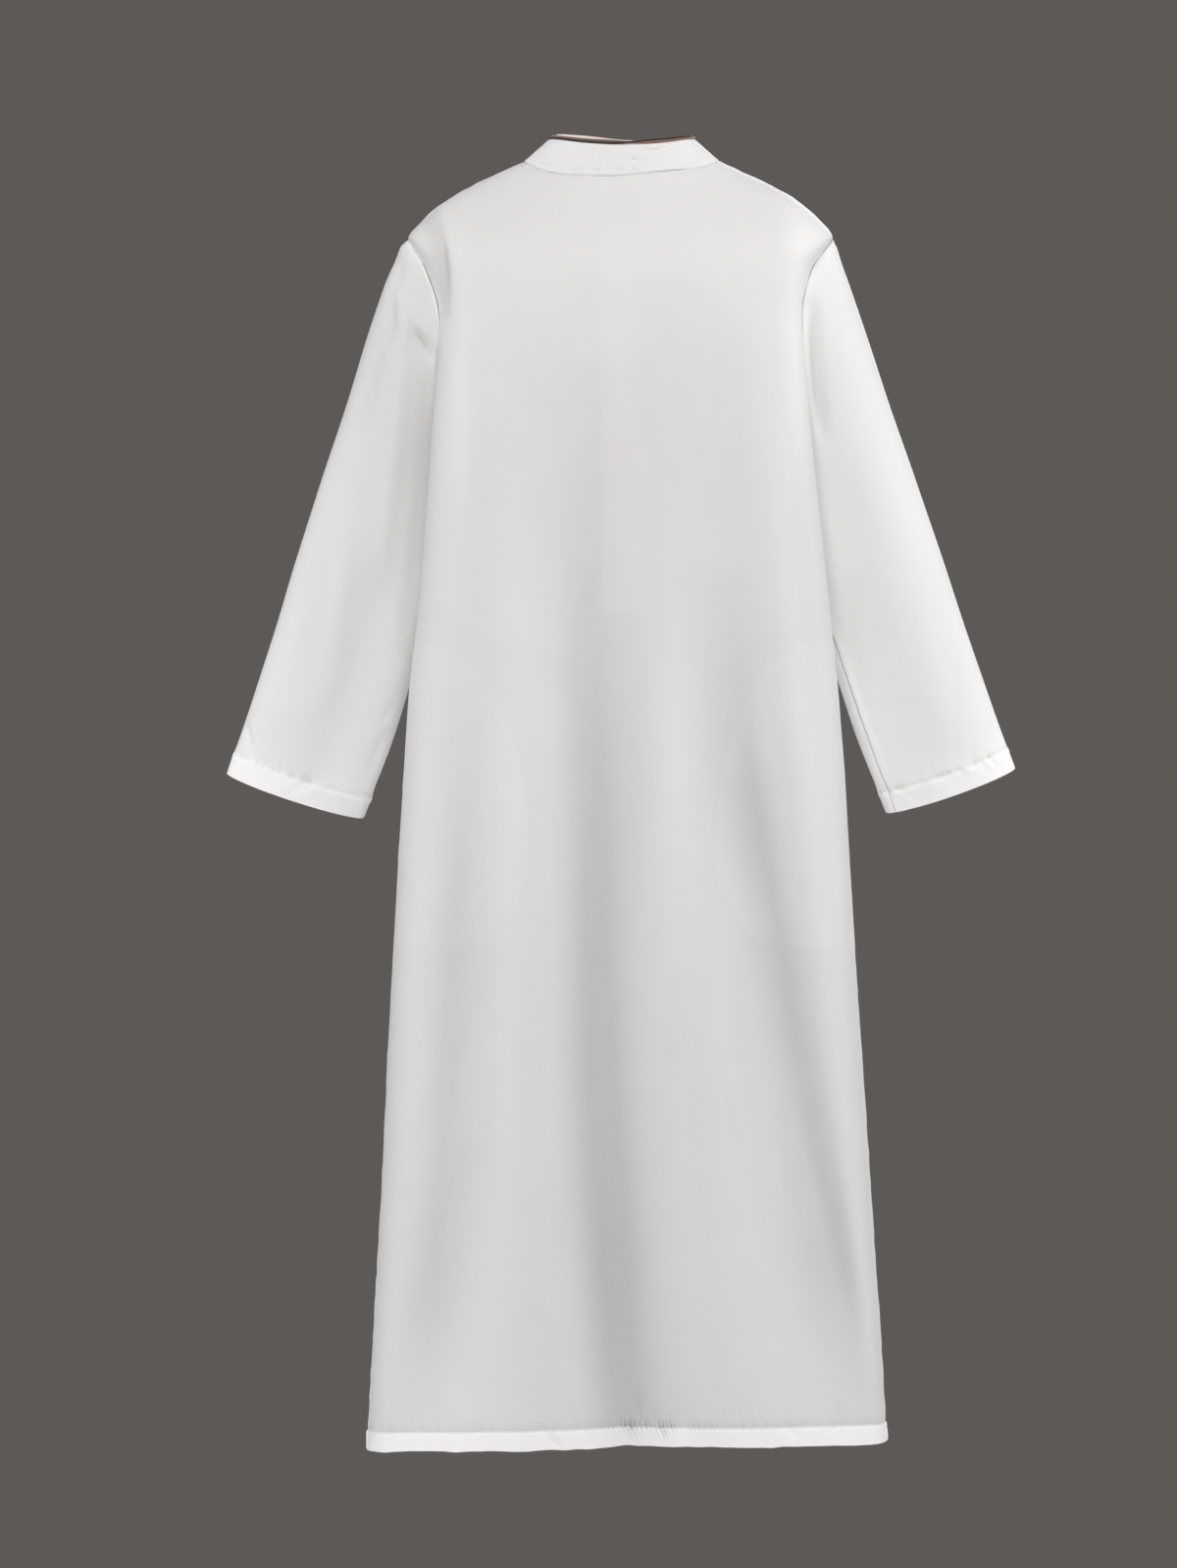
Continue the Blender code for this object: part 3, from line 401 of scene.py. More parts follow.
def sleeve_point(sleeve, turn, run):
    """Points on the sleeve, which settles from the armhole's outline to the straight tube."""
    turn, run = np.broadcast_arrays(np.asarray(turn, float), np.asarray(run, float))
    start, start_run = sleeve_start(sleeve, turn)
    settle = SETTLE_TOP + (SETTLE_UNDER - SETTLE_TOP) * (1 - np.cos(turn)) / 2
    offset = start - tube_point(sleeve, turn, start_run)
    fade = np.clip(1 - (start_run - run) / settle, 0, None) ** 2
    return tube_point(sleeve, turn, run) + offset * fade[..., None]


def sleeve_normal(sleeve, turn, run):
    step = 0.002
    around = sleeve_point(sleeve, turn + step, run) - sleeve_point(sleeve, turn - step, run)
    down = sleeve_point(sleeve, turn, run - step) - sleeve_point(sleeve, turn, run + step)
    return unit(np.cross(down, around) * sleeve["side"])


# ---------------- meshes

def mesh_object(name, material, points, faces, tints=None, sharp=55):
    """A mesh in the scene, with tints at its points and edges sharper than an angle in degrees kept crisp."""
    mesh = bpy.data.meshes.new(name)
    mesh.from_pydata(np.asarray(points).tolist(), [], faces)
    mesh.update()
    mesh.shade_smooth()
    if sharp:
        mesh.set_sharp_from_angle(angle=math.radians(sharp))
    if tints is not None:
        layer = mesh.color_attributes.new("tint", "FLOAT_COLOR", "POINT")
        rgba = np.ones((len(points), 4), np.float32)
        rgba[:, :3] = tints
        layer.data.foreach_set("color", rgba.ravel())
    mesh.materials.append(MATERIALS[material])
    piece = bpy.data.objects.new(name, mesh)
    scene.collection.objects.link(piece)
    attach(piece, "root")
    return piece


def quads_of(index, closed=False):
    """Quads over a grid of vertex numbers, leaving out those with no width."""
    right = np.roll(index, -1, axis=1) if closed else index[:, 1:]
    left = index if closed else index[:, :-1]
    a, b, c, d = left[:-1], left[1:], right[1:], right[:-1]
    quads = np.stack([a.ravel(), b.ravel(), c.ravel(), d.ravel()], axis=1)
    return quads[(quads[:, 0] != quads[:, 3]) | (quads[:, 1] != quads[:, 2])]


def shell(name, material, outer, normal, thick, index=None, closed=False, tint=None, keep=None):
    """A closed cloth shell on a grid of points: its outside, its inside a little way in, and its rims."""
    rows, columns = outer.shape[:2]
    if index is None:
        index = np.arange(rows * columns).reshape(rows, columns)
    points = outer.reshape(-1, 3)
    inside = (outer - normal * np.broadcast_to(thick, (rows, columns))[..., None]).reshape(-1, 3)
    quads = quads_of(index, closed)
    if keep is not None:
        quads = quads[keep]
    a, b, d = points[quads[:, 0]], points[quads[:, 1]], points[quads[:, 3]]
    facing = np.einsum("ij,ij->i", np.cross(b - a, d - a), normal.reshape(-1, 3)[quads[:, 0]])
    if np.sum(facing) < 0:
        quads = quads[:, ::-1]
    used = np.zeros(len(points), bool)
    used[quads.ravel()] = True
    count = int(used.sum())
    number = np.full(len(points), -1)
    number[used] = np.arange(count)
    quads = number[quads]
    directed = np.concatenate([quads[:, [k, (k + 1) % 4]] for k in range(4)])
    keys = directed[:, 0] * count + directed[:, 1]
    back = directed[:, 1] * count + directed[:, 0]
    rim = directed[~np.isin(keys, back)]
    walls = np.stack([rim[:, 1], rim[:, 0], rim[:, 0] + count, rim[:, 1] + count], axis=1)
    faces = np.concatenate([quads, quads[:, ::-1] + count, walls]).tolist()
    tints = None
    if tint is not None:
        tints = np.tile(tint.reshape(len(points), -1)[used], (2, 1))
    return mesh_object(name, material, np.concatenate([points[used], inside[used]]), faces, tints)


def ring(centre, across, up, corners):
    """Points round a centre, on an ellipse with two half axes."""
    turns = math.tau * np.arange(corners)[:, None] / corners
    return centre + np.asarray(across) * np.cos(turns) + np.asarray(up) * np.sin(turns)


def tube_faces(first, rings, corners, flip=False):
    """Faces of a tube of rings of points, with its two ends."""
    faces = []
    last = first + (rings - 1) * corners
    for low in range(first, last, corners):
        for k in range(corners):
            following = (k + 1) % corners
            faces.append((low + k, low + corners + k, low + corners + following, low + following))
    faces.append(tuple(range(first, first + corners)))
    faces.append(tuple(reversed(range(last, last + corners))))
    return [(face[0], *reversed(face[1:])) for face in faces] if flip else faces


STITCH_FLATNESS = 0.8
# a stitch's rings: share of its length from the middle, share of its radius, and height in radii
STITCH_RINGS = ((-0.5, 0.25, -0.35), (-0.36, 0.85, 0.25), (0.36, 0.85, 0.25), (0.5, 0.25, -0.35))


def stitches(name, rows, pitch=0.0026, length=0.0021, radius=0.00022):
    """Rows of thread stitches along paths, each a short rounded bar bedded in the cloth."""
    points, faces = [], []
    for path, normals in rows:
        lengths = lengths_along(path)
        count = max(int(lengths[-1] / pitch), 2)
        at = (np.arange(count) + 0.5) * lengths[-1] / count
        step = pitch / 4
        forward = unit(places_at(at + step, lengths, path) - places_at(at - step, lengths, path))
        up = unit(places_at(at, lengths, normals))
        side = unit(np.cross(up, forward))
        for place, ahead, raised_by, aside in zip(places_at(at, lengths, path), forward, up, side):
            faces += tube_faces(len(points), len(STITCH_RINGS), STITCH_TURN, flip=True)
            for reach, width, height in STITCH_RINGS:
                centre = place + ahead * (length * reach) + raised_by * (radius * height)
                wide = radius * width
                points += list(ring(centre, aside * wide, raised_by * (wide * STITCH_FLATNESS), STITCH_TURN))
    return mesh_object(name, "thread", points, faces, sharp=None)


# ---------------- materials

def node(tree, kind, *first, operation=None, **named):
    """A new node; each input given is a value to set or another node's output to link."""
    made = tree.nodes.new(kind)
    if operation:
        made.operation = operation
    sockets = [(made.inputs[k], value) for k, value in enumerate(first)]
    sockets += [(made.inputs[name.replace("_", " ")], value) for name, value in named.items()]
    for socket, value in sockets:
        if isinstance(value, bpy.types.NodeSocket):
            tree.links.new(value, socket)
        else:
            socket.default_value = value
    return made


def new_material(name, colour, roughness, sheen=0.0, specular=0.5):
    material = bpy.data.materials.new(name)
    material.use_nodes = True
    shader = material.node_tree.nodes["Principled BSDF"]
    shader.inputs["Base Color"].default_value = (*colour, 1)
    shader.inputs["Roughness"].default_value = roughness
    shader.inputs["Specular IOR Level"].default_value = specular
    shader.inputs["Sheen Weight"].default_value = sheen
    shader.inputs["Sheen Roughness"].default_value = 0.45
    return material, material.node_tree, shader


def cloud(tree, place, per_metre, detail, roughness):
    """Smooth noise over a place, with about so many features to the metre."""
    made = node(tree, "ShaderNodeTexNoise", Vector=place, Scale=per_metre, Detail=detail, Roughness=roughness)
    return made.outputs["Fac"]


def threads_across(tree, place, stretch):
    """Noise drawn out into fine threads."""
    drawn = node(tree, "ShaderNodeVectorMath", place, stretch, operation="MULTIPLY")
    return cloud(tree, drawn.outputs[0], 1.0, 2.0, 0.5)


def raised(tree, shader, height, strength, distance):
    """Fine relief from a height, as a bump."""
    bump = node(tree, "ShaderNodeBump", Strength=strength, Distance=distance, Height=height)
    tree.links.new(bump.outputs["Normal"], shader.inputs["Normal"])


def coloured(tree, shader, source, low, high):
    """A colour that runs between two, each given with its place from 0 to 1."""
    ramp_node = node(tree, "ShaderNodeValToRGB", source)
    for element, (position, colour) in zip(ramp_node.color_ramp.elements, (low, high)):
        element.position = position
        element.color = (*colour, 1)
    tree.links.new(ramp_node.outputs["Color"], shader.inputs["Base Color"])


def cloth_material(name, colour, tinted=True):
    """White polyester: a fine plain weave, thicker threads here and there, and the shell's tints, which hold
    painted light and painted shade as well as marks and layers seen through.
    """
    material, tree, shader = new_material(name, colour, 0.72, sheen=0.12, specular=0.32)
    place = tree.nodes.new("ShaderNodeTexCoord").outputs["Object"]
    weft = threads_across(tree, place, (60, 60, 1500))
    warp = threads_across(tree, place, (1500, 1500, 60))
    threads = node(tree, "ShaderNodeMath", weft, warp, operation="ADD").outputs[0]
    raised(tree, shader, threads, 0.35, 0.00012)
    cloudy = cloud(tree, place, 5.0, 3.0, 0.55)
    shade = node(tree, "ShaderNodeMapRange", cloudy, 0.3, 0.7, 0.985, 1.0).outputs[0]
    fine = node(tree, "ShaderNodeMapRange", threads, 0.7, 1.3, 0.985, 1.01).outputs[0]
    level = node(tree, "ShaderNodeMath", shade, fine, operation="MULTIPLY").outputs[0]
    last = node(tree, "ShaderNodeVectorMath", colour, operation="SCALE", Scale=level).outputs[0]
    if tinted:
        tint = tree.nodes.new("ShaderNodeVertexColor")
        tint.layer_name = "tint"
        tint = tint.outputs["Color"]
        last = node(tree, "ShaderNodeVectorMath", last, tint, operation="MULTIPLY").outputs[0]
    tree.links.new(last, shader.inputs["Base Color"])
    return material


def fibre_material(name, colour, dark, roughness=0.5):
    """Twisted thread: fine strands along a cord, lighter and darker."""
    material, tree, shader = new_material(name, colour, roughness, sheen=0.3, specular=0.45)
    strands = cloud(tree, tree.nodes.new("ShaderNodeTexCoord").outputs["Object"], 2600.0, 2.0, 0.6)
    coloured(tree, shader, strands, (0.35, dark), (0.65, colour))
    raised(tree, shader, strands, 0.5, 0.0001)
    return material


def plastic_material():
    """A button's plastic: clouded, with a thin gloss."""
    material, tree, shader = new_material("white_button", (0.80, 0.80, 0.775), 0.28, specular=0.5)
    shader.inputs["Coat Weight"].default_value = 0.3
    shader.inputs["Coat Roughness"].default_value = 0.15
    cloudy = cloud(tree, tree.nodes.new("ShaderNodeTexCoord").outputs["Object"], 420.0, 3.0, 0.5)
    coloured(tree, shader, cloudy, (0.0, (0.70, 0.69, 0.66)), (1.0, (0.84, 0.84, 0.82)))
    return material


MATERIALS = {
    "cloth": cloth_material("white_polyester", (0.715, 0.712, 0.716)),
    "collar": cloth_material("white_polyester_collar", (0.755, 0.753, 0.756)),
    "plain": cloth_material("white_polyester_inside", (0.80, 0.797, 0.79), tinted=False),
    "thread": fibre_material("white_thread", (0.90, 0.90, 0.89), (0.74, 0.74, 0.73)),
    "copper": fibre_material("copper_cord", (0.38, 0.175, 0.110), (0.17, 0.070, 0.044), roughness=0.38),
    "black": fibre_material("black_cord", (0.022, 0.018, 0.017), (0.006, 0.005, 0.005), roughness=0.45),
    "button": plastic_material(),
    # dark plugs that stand in for the buttons' holes: painted shade
    "hole": new_material("button_hole_shade", (0.05, 0.05, 0.048), 0.8)[0],
}


# ---------------- body panels

def panel_rows():
    """Row levels, and the armhole turn of each row that ends at the armhole."""
    turns = np.linspace(0, math.pi, ARMHOLE_ROWS + 1)
    z = np.concatenate([
        np.linspace(0, TIP_Z, SHOULDER_ROWS, endpoint=False),
        armhole_place(turns, SEAM / 2)[0],
        np.linspace(UNDERARM_Z, PLACKET_END_Z, WAIST_ROWS + 1)[1:],
        np.linspace(PLACKET_END_Z, HEM_LINE + ROW_GAP, SKIRT_ROWS + 1)[1:],
        np.linspace(HEM_LINE, HEM_Z, HEM_ROWS),
    ])
    turn = np.full(len(z), np.nan)
    turn[SHOULDER_ROWS:SHOULDER_ROWS + ARMHOLE_ROWS + 1] = turns
    return z, turn


def panel_edge(z, turn, side, on_front):
    """The angle at which a panel ends, at its shoulder, armhole or side seam."""
    if 0 < turn < math.pi - 1e-6:
        _, y = armhole_place(-turn if on_front else turn, SEAM / 2)
        return angle_at_depth(z, y, side)
    y = along(BODY, MIDDLE if z > (TIP_Z + UNDERARM_Z) / 2 else SIDE_SEAM, z)
    return angle_at_depth(z, y - SEAM / 2 if on_front else y + SEAM / 2, side)


def softer_shoulder(points, z, angles, on_front):
    """Spreads the turn of the cloth at the level of the shoulder points, away from the panel's edges."""
    steps = np.arange(-3, 4) * 0.010
    weights = np.exp(-((steps / 0.014) ** 2) / 2)
    mean = sum(weight * body_point(z + step, angles) for step, weight in zip(steps, weights)) / weights.sum()
    x = points[..., 0]
    from_edge = np.minimum(x[:, :1] - x, x - x[:, -1:])
    free = ramp(from_edge, 0.004, 0.035) * ramp(z, -0.030, -0.030) * ramp(z, -0.21, 0.05)
    if on_front:
        free = free * ramp(np.abs(x), 0.016, 0.035)
    return (mean - points) * free[..., None]


def panel(on_front):
    """A body panel's points and outward directions, and how far each is above the hem's line, down from the
    panel's top, and from its left and right edges."""
    levels, turns = panel_rows()
    places = np.linspace(0, 1, 800)
    density = 1 + 1.6 * bell(places - PUCKER_CENTRE, PUCKER_SPREAD)
    reached = np.insert(np.cumsum(density[1:]), 0, 0) / np.sum(density[1:])
    back_shares = np.interp(np.linspace(0, 1, BACK_COLUMNS + 1), reached, places)
    side_shares = np.linspace(0, 1, SIDE_COLUMNS + 1)
    band_x = np.linspace(PLACKET_LEFT, PLACKET_RIGHT, BAND_COLUMNS + 1)
    angles = []
    for z, turn in zip(levels, turns):
        left, right = (panel_edge(z, turn, side, on_front) for side in (1, -1))
        if not on_front:
            angles.append(spread(z, left, right, back_shares))
            continue
        band = [front_angle(z, x) for x in band_x]
        on_left = spread(z, left, band[0], side_shares)
        on_right = spread(z, band[-1], right + math.tau, side_shares)
        angles.append(np.concatenate([on_left[:-1], band, on_right[1:]]))
    angles = np.array(angles)
    z = np.broadcast_to(levels[:, None], angles.shape)
    points = body_point(z, angles)
    points += softer_shoulder(points, z, angles, on_front)
    left = lengths_along(points, 1)
    return {
        "points": points, "normals": body_normal(z, angles), "x": points[..., 0], "z": z,
        "above": z - HEM_LINE, "down": lengths_along(points), "left": left, "right": left[:, -1:] - left,
    }


def nearest_on_line(x, z, line):
    """How far points are from a line of (x, z) points, and how far along it the nearest place is, 0 to 1."""
    line = np.array(line)
    reached = lengths_along(line)
    best = np.full(np.shape(x), 9.0)
    share = np.zeros(np.shape(x))
    for (x0, z0), (x1, z1), begun, ended in zip(line[:-1], line[1:], reached[:-1], reached[1:]):
        length = ended - begun
        t = np.clip(((x - x0) * (x1 - x0) + (z - z0) * (z1 - z0)) / length**2, 0, 1)
        far = np.hypot(x - x0 - t * (x1 - x0), z - z0 - t * (z1 - z0))
        share = np.where(far < best, (begun + t * length) / reached[-1], share)
        best = np.minimum(far, best)
    return best, share


def stroke(x, z, line, width, depth):
    """A soft trough along a line of (x, z) points, which fades at its ends; a negative depth is a ridge."""
    best, share = nearest_on_line(x, z, line)
    return groove(best, width, depth) * np.sin(math.pi * np.clip(share, 0.001, 0.999)) ** 0.6


# (x, z) line, half width, depth; the back as it hangs
BACK_STROKES = (
    (((0.037, -0.76), (0.038, -0.82), (0.036, -0.88)), 0.0045, 0.0007),
    (((-0.1055, -0.99), (-0.113, -1.04), (-0.134, -1.10)), 0.005, 0.0009),
    (((0.115, -0.03), (0.150, -0.065), (0.176, -0.12)), 0.010, 0.0007),
    (((-0.120, -0.03), (-0.158, -0.07), (-0.182, -0.13)), 0.011, 0.0008),
    (((0.020, -0.06), (0.012, -0.16), (0.016, -0.28)), 0.012, -0.0006),
    (((0.055, -0.40), (0.060, -0.55), (0.052, -0.70)), 0.016, 0.0009),
    (((-0.060, -0.36), (-0.066, -0.52), (-0.060, -0.66)), 0.018, 0.0008),
    (((0.150, -0.30), (0.158, -0.42), (0.160, -0.56)), 0.014, 0.0009),
    (((-0.140, -0.95), (-0.158, -1.12), (-0.185, -1.30)), 0.012, -0.0009),
    (((0.120, -1.00), (0.135, -1.18), (0.160, -1.34)), 0.012, -0.0009),
)
FRONT_STROKES = (
    (((0.110, -0.05), (0.080, -0.10), (0.040, -0.13)), 0.010, 0.0009),
    (((-0.115, -0.05), (-0.085, -0.11), (-0.045, -0.15)), 0.010, 0.0009),
    (((0.150, -0.20), (0.120, -0.26), (0.080, -0.30)), 0.012, 0.0010),
    (((-0.150, -0.22), (-0.120, -0.29), (-0.085, -0.33)), 0.012, 0.0010),
    (((0.060, -0.52), (0.066, -0.66), (0.060, -0.80)), 0.015, 0.0010),
    (((-0.055, -0.53), (-0.060, -0.70), (-0.052, -0.86)), 0.015, 0.0010),
    (((0.130, -0.95), (0.150, -1.12), (0.165, -1.30)), 0.012, -0.0009),
    (((-0.120, -0.98), (-0.140, -1.16), (-0.170, -1.32)), 0.012, -0.0009),
)

# (x, height above the hem's stitching) line, half width, depth
HEM_STROKES = (
    (((0.086, 0.002), (0.078, -0.006), (0.066, -0.020)), 0.0030, 0.0016),
    (((0.079, 0.002), (0.071, -0.006), (0.058, -0.020)), 0.0030, -0.0012),
    (((-0.174, 0.001), (-0.184, -0.009), (-0.194, 0.001)), 0.0024, 0.0013),
    (((-0.012, 0.030), (-0.018, 0.018), (-0.026, 0.004)), 0.0060, 0.0030),
    (((-0.030, 0.022), (-0.036, 0.012), (-0.042, 0.003)), 0.0040, 0.0018),
    (((-0.060, 0.026), (-0.064, 0.014), (-0.072, 0.003)), 0.0045, 0.0016),
    (((-0.228, 0.020), (-0.236, 0.010), (-0.250, 0.002)), 0.0045, 0.0014),
    (((-0.262, 0.040), (-0.272, 0.028), (-0.284, 0.010)), 0.0060, 0.0016),
)

# (z, x) rows of the soft fold beside the left armhole
ARMHOLE_FOLD = (
    (-0.048, 0.2060), (-0.066, 0.2012), (-0.088, 0.1966),
    (-0.115, 0.1940), (-0.150, 0.1928), (-0.178, 0.1945),
)

ARMHOLE_SHADE = 15  # how fast that fold darkens with its depth
FOLD_SHADE = 210  # how fast a deep fold darkens with the square of its depth
CREASE_SHADE = 14  # how fast a small crease darkens with its depth
LINE_WIDTH = 0.0012  # of the line of light or shade at a seam
HEM_LIGHTER = 0.27  # how much lighter the doubled cloth of a hem is
SHOULDER_SEAM_HIGHLIGHT = 0.14  # how much more painted highlight the armhole seams get at the shoulders
POCKET_COLOUR = np.array([0.026, 0.026, 0.012])  # added where a pocket bag shows through
PLACKET_COLOURS = np.array([[0.034, 0.020, 0.016], [0.036, 0.031, 0.010]])  # and the placket's top and end

# patches of painted light, where the back is made lighter: x, z, half width and height, amount
PAINTED_LIGHT_PATCHES = (
    (-0.058, -0.62, 0.030, 0.19, 0.105),
    (0.108, -0.58, 0.034, 0.20, 0.075),
    (0.174, -0.24, 0.012, 0.15, 0.060),
    (-0.191, -0.19, 0.016, 0.13, 0.130),
    (-0.212, -0.09, 0.030, 0.05, 0.080),
)

# x, z and size of faint round marks
BACK_MARKS = (
    (-0.177, -0.480, 0.0042), (-0.248, -0.457, 0.0042), (0.154, -0.616, 0.0040), (0.235, -0.774, 0.0040),
    (0.182, -0.875, 0.0045), (0.097, -0.819, 0.0035), (0.168, -0.943, 0.0035), (0.118, -0.938, 0.0032),
    (0.063, -0.957, 0.0045), (-0.022, -0.911, 0.0040), (0.007, -0.919, 0.0034), (-0.052, -0.968, 0.0040),
    (-0.100, -1.066, 0.0042), (-0.132, -0.970, 0.0034), (0.123, -1.247, 0.0040), (0.092, -1.247, 0.0034),
)


def pocket_mask(x, z):
    """1 where a pocket bag lies behind the cloth, with a soft edge."""
    table = np.array(POCKET)[::-1]
    reach = along(POCKET, 1, np.clip(z, POCKET[-1][0], POCKET[0][0]))
    reach = np.interp(z, table[:, 0], table[:, 1]) * 0.5 + reach * 0.5
    inside = ease((np.abs(x) - reach) / 0.004 + 0.5)
    return inside * ramp(z, POCKET[0][0], -0.006) * ramp(z, POCKET[-1][0], 0.004)


def hem_parts(grid, at_back):
    """How hard the hem's stitching pulls at each point, and the puckers there from -1 to 1."""
    across, above = grid["left"], grid["above"]
    # at the back it pulls hardest a little to the wearer's right of the middle
    strong = 0.30 + (1.2 * bell(grid["x"] + 0.040, 0.052) if at_back else 0.25)
    strong = strong * (0.8 + 0.8 * noise(across, 0, 0.017, 7))
    # the puckers lean, and lie about 5 mm apart
    lean = across + 0.55 * above
    wander = lean + 0.0016 * noise(lean, 0, 0.011, 5)
    ripple = np.sin(math.tau * wander / 0.0052) * (0.7 + 0.5 * noise(lean, 0, 0.007, 4))
    ripple += 0.4 * noise(lean, grid["z"] * 0.2, 0.0075, 6)
    tall = 0.0045 + 0.0060 * (0.5 + 0.5 * noise(across, 0, 0.012, 8))
    return strong * fading(above, tall) * fading(-above, 0.009), ripple


def turned_in(above, depth):
    """The stitched line above a hem or cuff, and the thickness of the fold below it."""
    return groove(above, 0.0014, depth) + 0.0008 * ease(-above / 0.0025)


def thickness(above):
    return np.where(above < ROW_GAP / 2, FOLDED, SHELL)


def hem_relief(grid, at_back):
    """The hem's line and fold, the puckers that the stitching pulls, and creases near it."""
    above = grid["above"]
    pull, ripple = hem_parts(grid, at_back)
    relief = turned_in(above, 0.0007) + 0.0015 * ripple * pull
    if at_back:
        for line, width, depth in HEM_STROKES:
            relief += np.where(above < 0.05, stroke(grid["x"], above, line, width, depth), 0)
    return relief


def hem_wave(x, z):
    """How far the hem's lower edge wanders up and down."""
    return (0.0011 * noise(x, 0, 0.032, 9) + 0.0006 * noise(x, 0, 0.013, 10)) * ramp(z, HEM_Z + 0.030, -0.030)


def seam_ridge(distance, height):
    """The small ridge of a seam and the dip beside it."""
    return height * bell(distance, 0.0018) - 0.0003 * bell(distance - 0.0050, 0.0028)


def armhole_fold(x, z):
    """A valley that is gentle towards the sleeve and steep towards the body."""
    t = (ARMHOLE_FOLD[0][0] - z) / (ARMHOLE_FOLD[0][0] - ARMHOLE_FOLD[-1][0])
    offset = x - along(ARMHOLE_FOLD, 1, z)
    ends = np.sin(math.pi * np.clip(t, 0, 1)) ** 0.5
    return groove(offset, np.where(offset > 0, 0.0150, 0.0055), 0.0062) * ends


def creases(grid, on_front):
    x, z = grid["x"], grid["z"]
    total = np.zeros(x.shape)
    for line, width, depth in FRONT_STROKES if on_front else BACK_STROKES:
        total += stroke(x, z, line, width, depth)
    return total if on_front else total + armhole_fold(x, z) * ease(grid["left"] / 0.011)


def crease_shade(depth):
    """The little less light that reaches the bottom of a crease."""
    return 1 + CREASE_SHADE * np.clip(depth, -0.006, 0)


def body_relief(grid, on_front):
    """How far the cloth stands out from the plain form, at seams, hem, creases and all over."""
    x, z, top = grid["x"], grid["z"], grid["down"]
    relief = np.zeros(x.shape)
    # the side edges: a seam with puckers, and a little lower at the shoulder points
    for distance, column, seed in ((grid["left"], 0, 11), (grid["right"], -1, 12)):
        ripple = noise(top[:, column][:, None], distance * 0.25, 0.011, seed)
        relief += seam_ridge(distance, 0.0004) + 0.0005 * ripple * fading(distance, 0.012)
        relief -= 0.0008 * bell(distance, 0.010) * bell(z - TIP_Z, 0.020)
    # the seam at the neck, with puckers
    relief += groove(top, 0.0022, 0.0009)
    relief += 0.0005 * noise(grid["left"], top * 0.2, 0.006, 21) * fading(top, 0.014)
    relief += hem_relief(grid, not on_front)
    relief += creases(grid, on_front)
    # slow and fine unevenness all over
    relief += 0.0010 * noise(x, z * 0.35, 0.055, 31 + on_front)
    relief += 0.0004 * noise(x, z * 0.5, 0.022, 33 + on_front)
    return relief if on_front else relief + 0.0003 * pocket_mask(x, z)


def back_shade(grid):
    """How light the back is: painted shade in its folds and along the placket's edge behind it, painted light
    in patches, and faint marks.
    """
    x, z = grid["x"], grid["z"]
    shade = 1 + ARMHOLE_SHADE * armhole_fold(x, z) * ease(grid["left"] / 0.011)
    below = ramp(z, -0.35, -0.45) * (0.75 + 0.45 * ramp(z, -1.0, -0.35)) * (1 - ramp(z, HEM_LINE, -0.0015))
    shade *= 1 - FOLD_SHADE * deep_fold_depth(x, z) ** 2 * below
    # painted light: the back is made lighter in these patches
    for lit_x, lit_z, wide, high, amount in PAINTED_LIGHT_PATCHES:
        shade *= 1 + amount * bell(x - lit_x, wide) * bell(z - lit_z, high)
    # painted shade: a darker strip along the left edge of the placket that lies behind the back
    placket_edge_shade = bell(x - PLACKET_LEFT - 0.004, 0.010) * ramp(z, -0.20, -0.10)
    shade *= 1 - placket_edge_shade * 0.024 * ramp(z, PLACKET_END_Z, 0.02)
    for mark_x, mark_z, size in BACK_MARKS:
        shade *= 1 - 0.035 * np.exp(-((np.hypot(x - mark_x, z - mark_z) / size) ** 4))
    return shade


def seen_through(x, z):
    """The colour that the pocket bags and the placket add through the back."""
    pocket = pocket_mask(x, z)[..., None]
    colour = (1 + pocket * POCKET_COLOUR) * (1 - pocket * (1 - pocket) * 4 * 0.012)
    crisp = 0.018 - 0.013 * ramp(z, -0.24, -0.10)
    band = ramp(x, PLACKET_LEFT + 0.006, -0.014) * ramp(x, PLACKET_RIGHT - 0.001, crisp)
    band = band * ramp(z, PLACKET_END_Z, 0.010) * ramp(z, -0.04, -0.16)
    lower = ramp(z, -0.30, -0.20)[..., None]
    return colour * (1 + band[..., None] * (PLACKET_COLOURS[0] * (1 - lower) + PLACKET_COLOURS[1] * lower))


def body_tint_and_painted_light(grid, on_front):
    """Where layers behind the cloth, the hem's doubled cloth and faint marks change its colour, with painted
    light and painted shade in creases, folds, seams and at the hem.
    """
    z, above = grid["z"], grid["above"]
    shade = crease_shade(creases(grid, on_front))
    if not on_front:
        shade *= back_shade(grid)
    # painted highlight: a lighter strip just inside the right edge, at the shoulder and the armhole's top
    shade *= 1 + 0.06 * bell(grid["right"] - 0.005, 0.005) * ramp(z, -0.17, 0.06)
    # painted highlight along the seam at the left edge and faint painted shade along the right one, with more
    # highlight at the shoulders
    for distance, lighter in ((grid["left"], 0.12), (grid["right"], -0.015)):
        shade *= 1 + (lighter + SHOULDER_SEAM_HIGHLIGHT * ramp(z, -0.13, 0.04)) * bell(distance, LINE_WIDTH)
    shade *= 1 + HEM_LIGHTER * ease(-above / 0.0015)
    # painted shade and painted light on the hem's puckers, and painted shade along its stitching
    pull, ripple = hem_parts(grid, not on_front)
    shade *= 1 + 0.26 * np.clip(ripple, -0.9, 0.3) * pull
    shade *= 1 - 0.05 * bell(above - 0.0006, 0.0010)
    return shade[..., None] if on_front else shade[..., None] * seen_through(grid["x"], z)


def shaped_panel(on_front):
    """A panel with its relief and tint."""
    grid = panel(on_front)
    grid["shaped"] = grid["points"] + grid["normals"] * (body_relief(grid, on_front) - SUNK)[..., None]
    grid["shaped"][..., 2] += hem_wave(grid["x"], grid["z"])
    return grid, body_tint_and_painted_light(grid, on_front)


def make_back():
    grid, tint = shaped_panel(False)
    piece = shell("back_cloth", "cloth", grid["shaped"], grid["normals"], thickness(grid["above"]), tint=tint)
    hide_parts("back_panel")
    return piece, grid


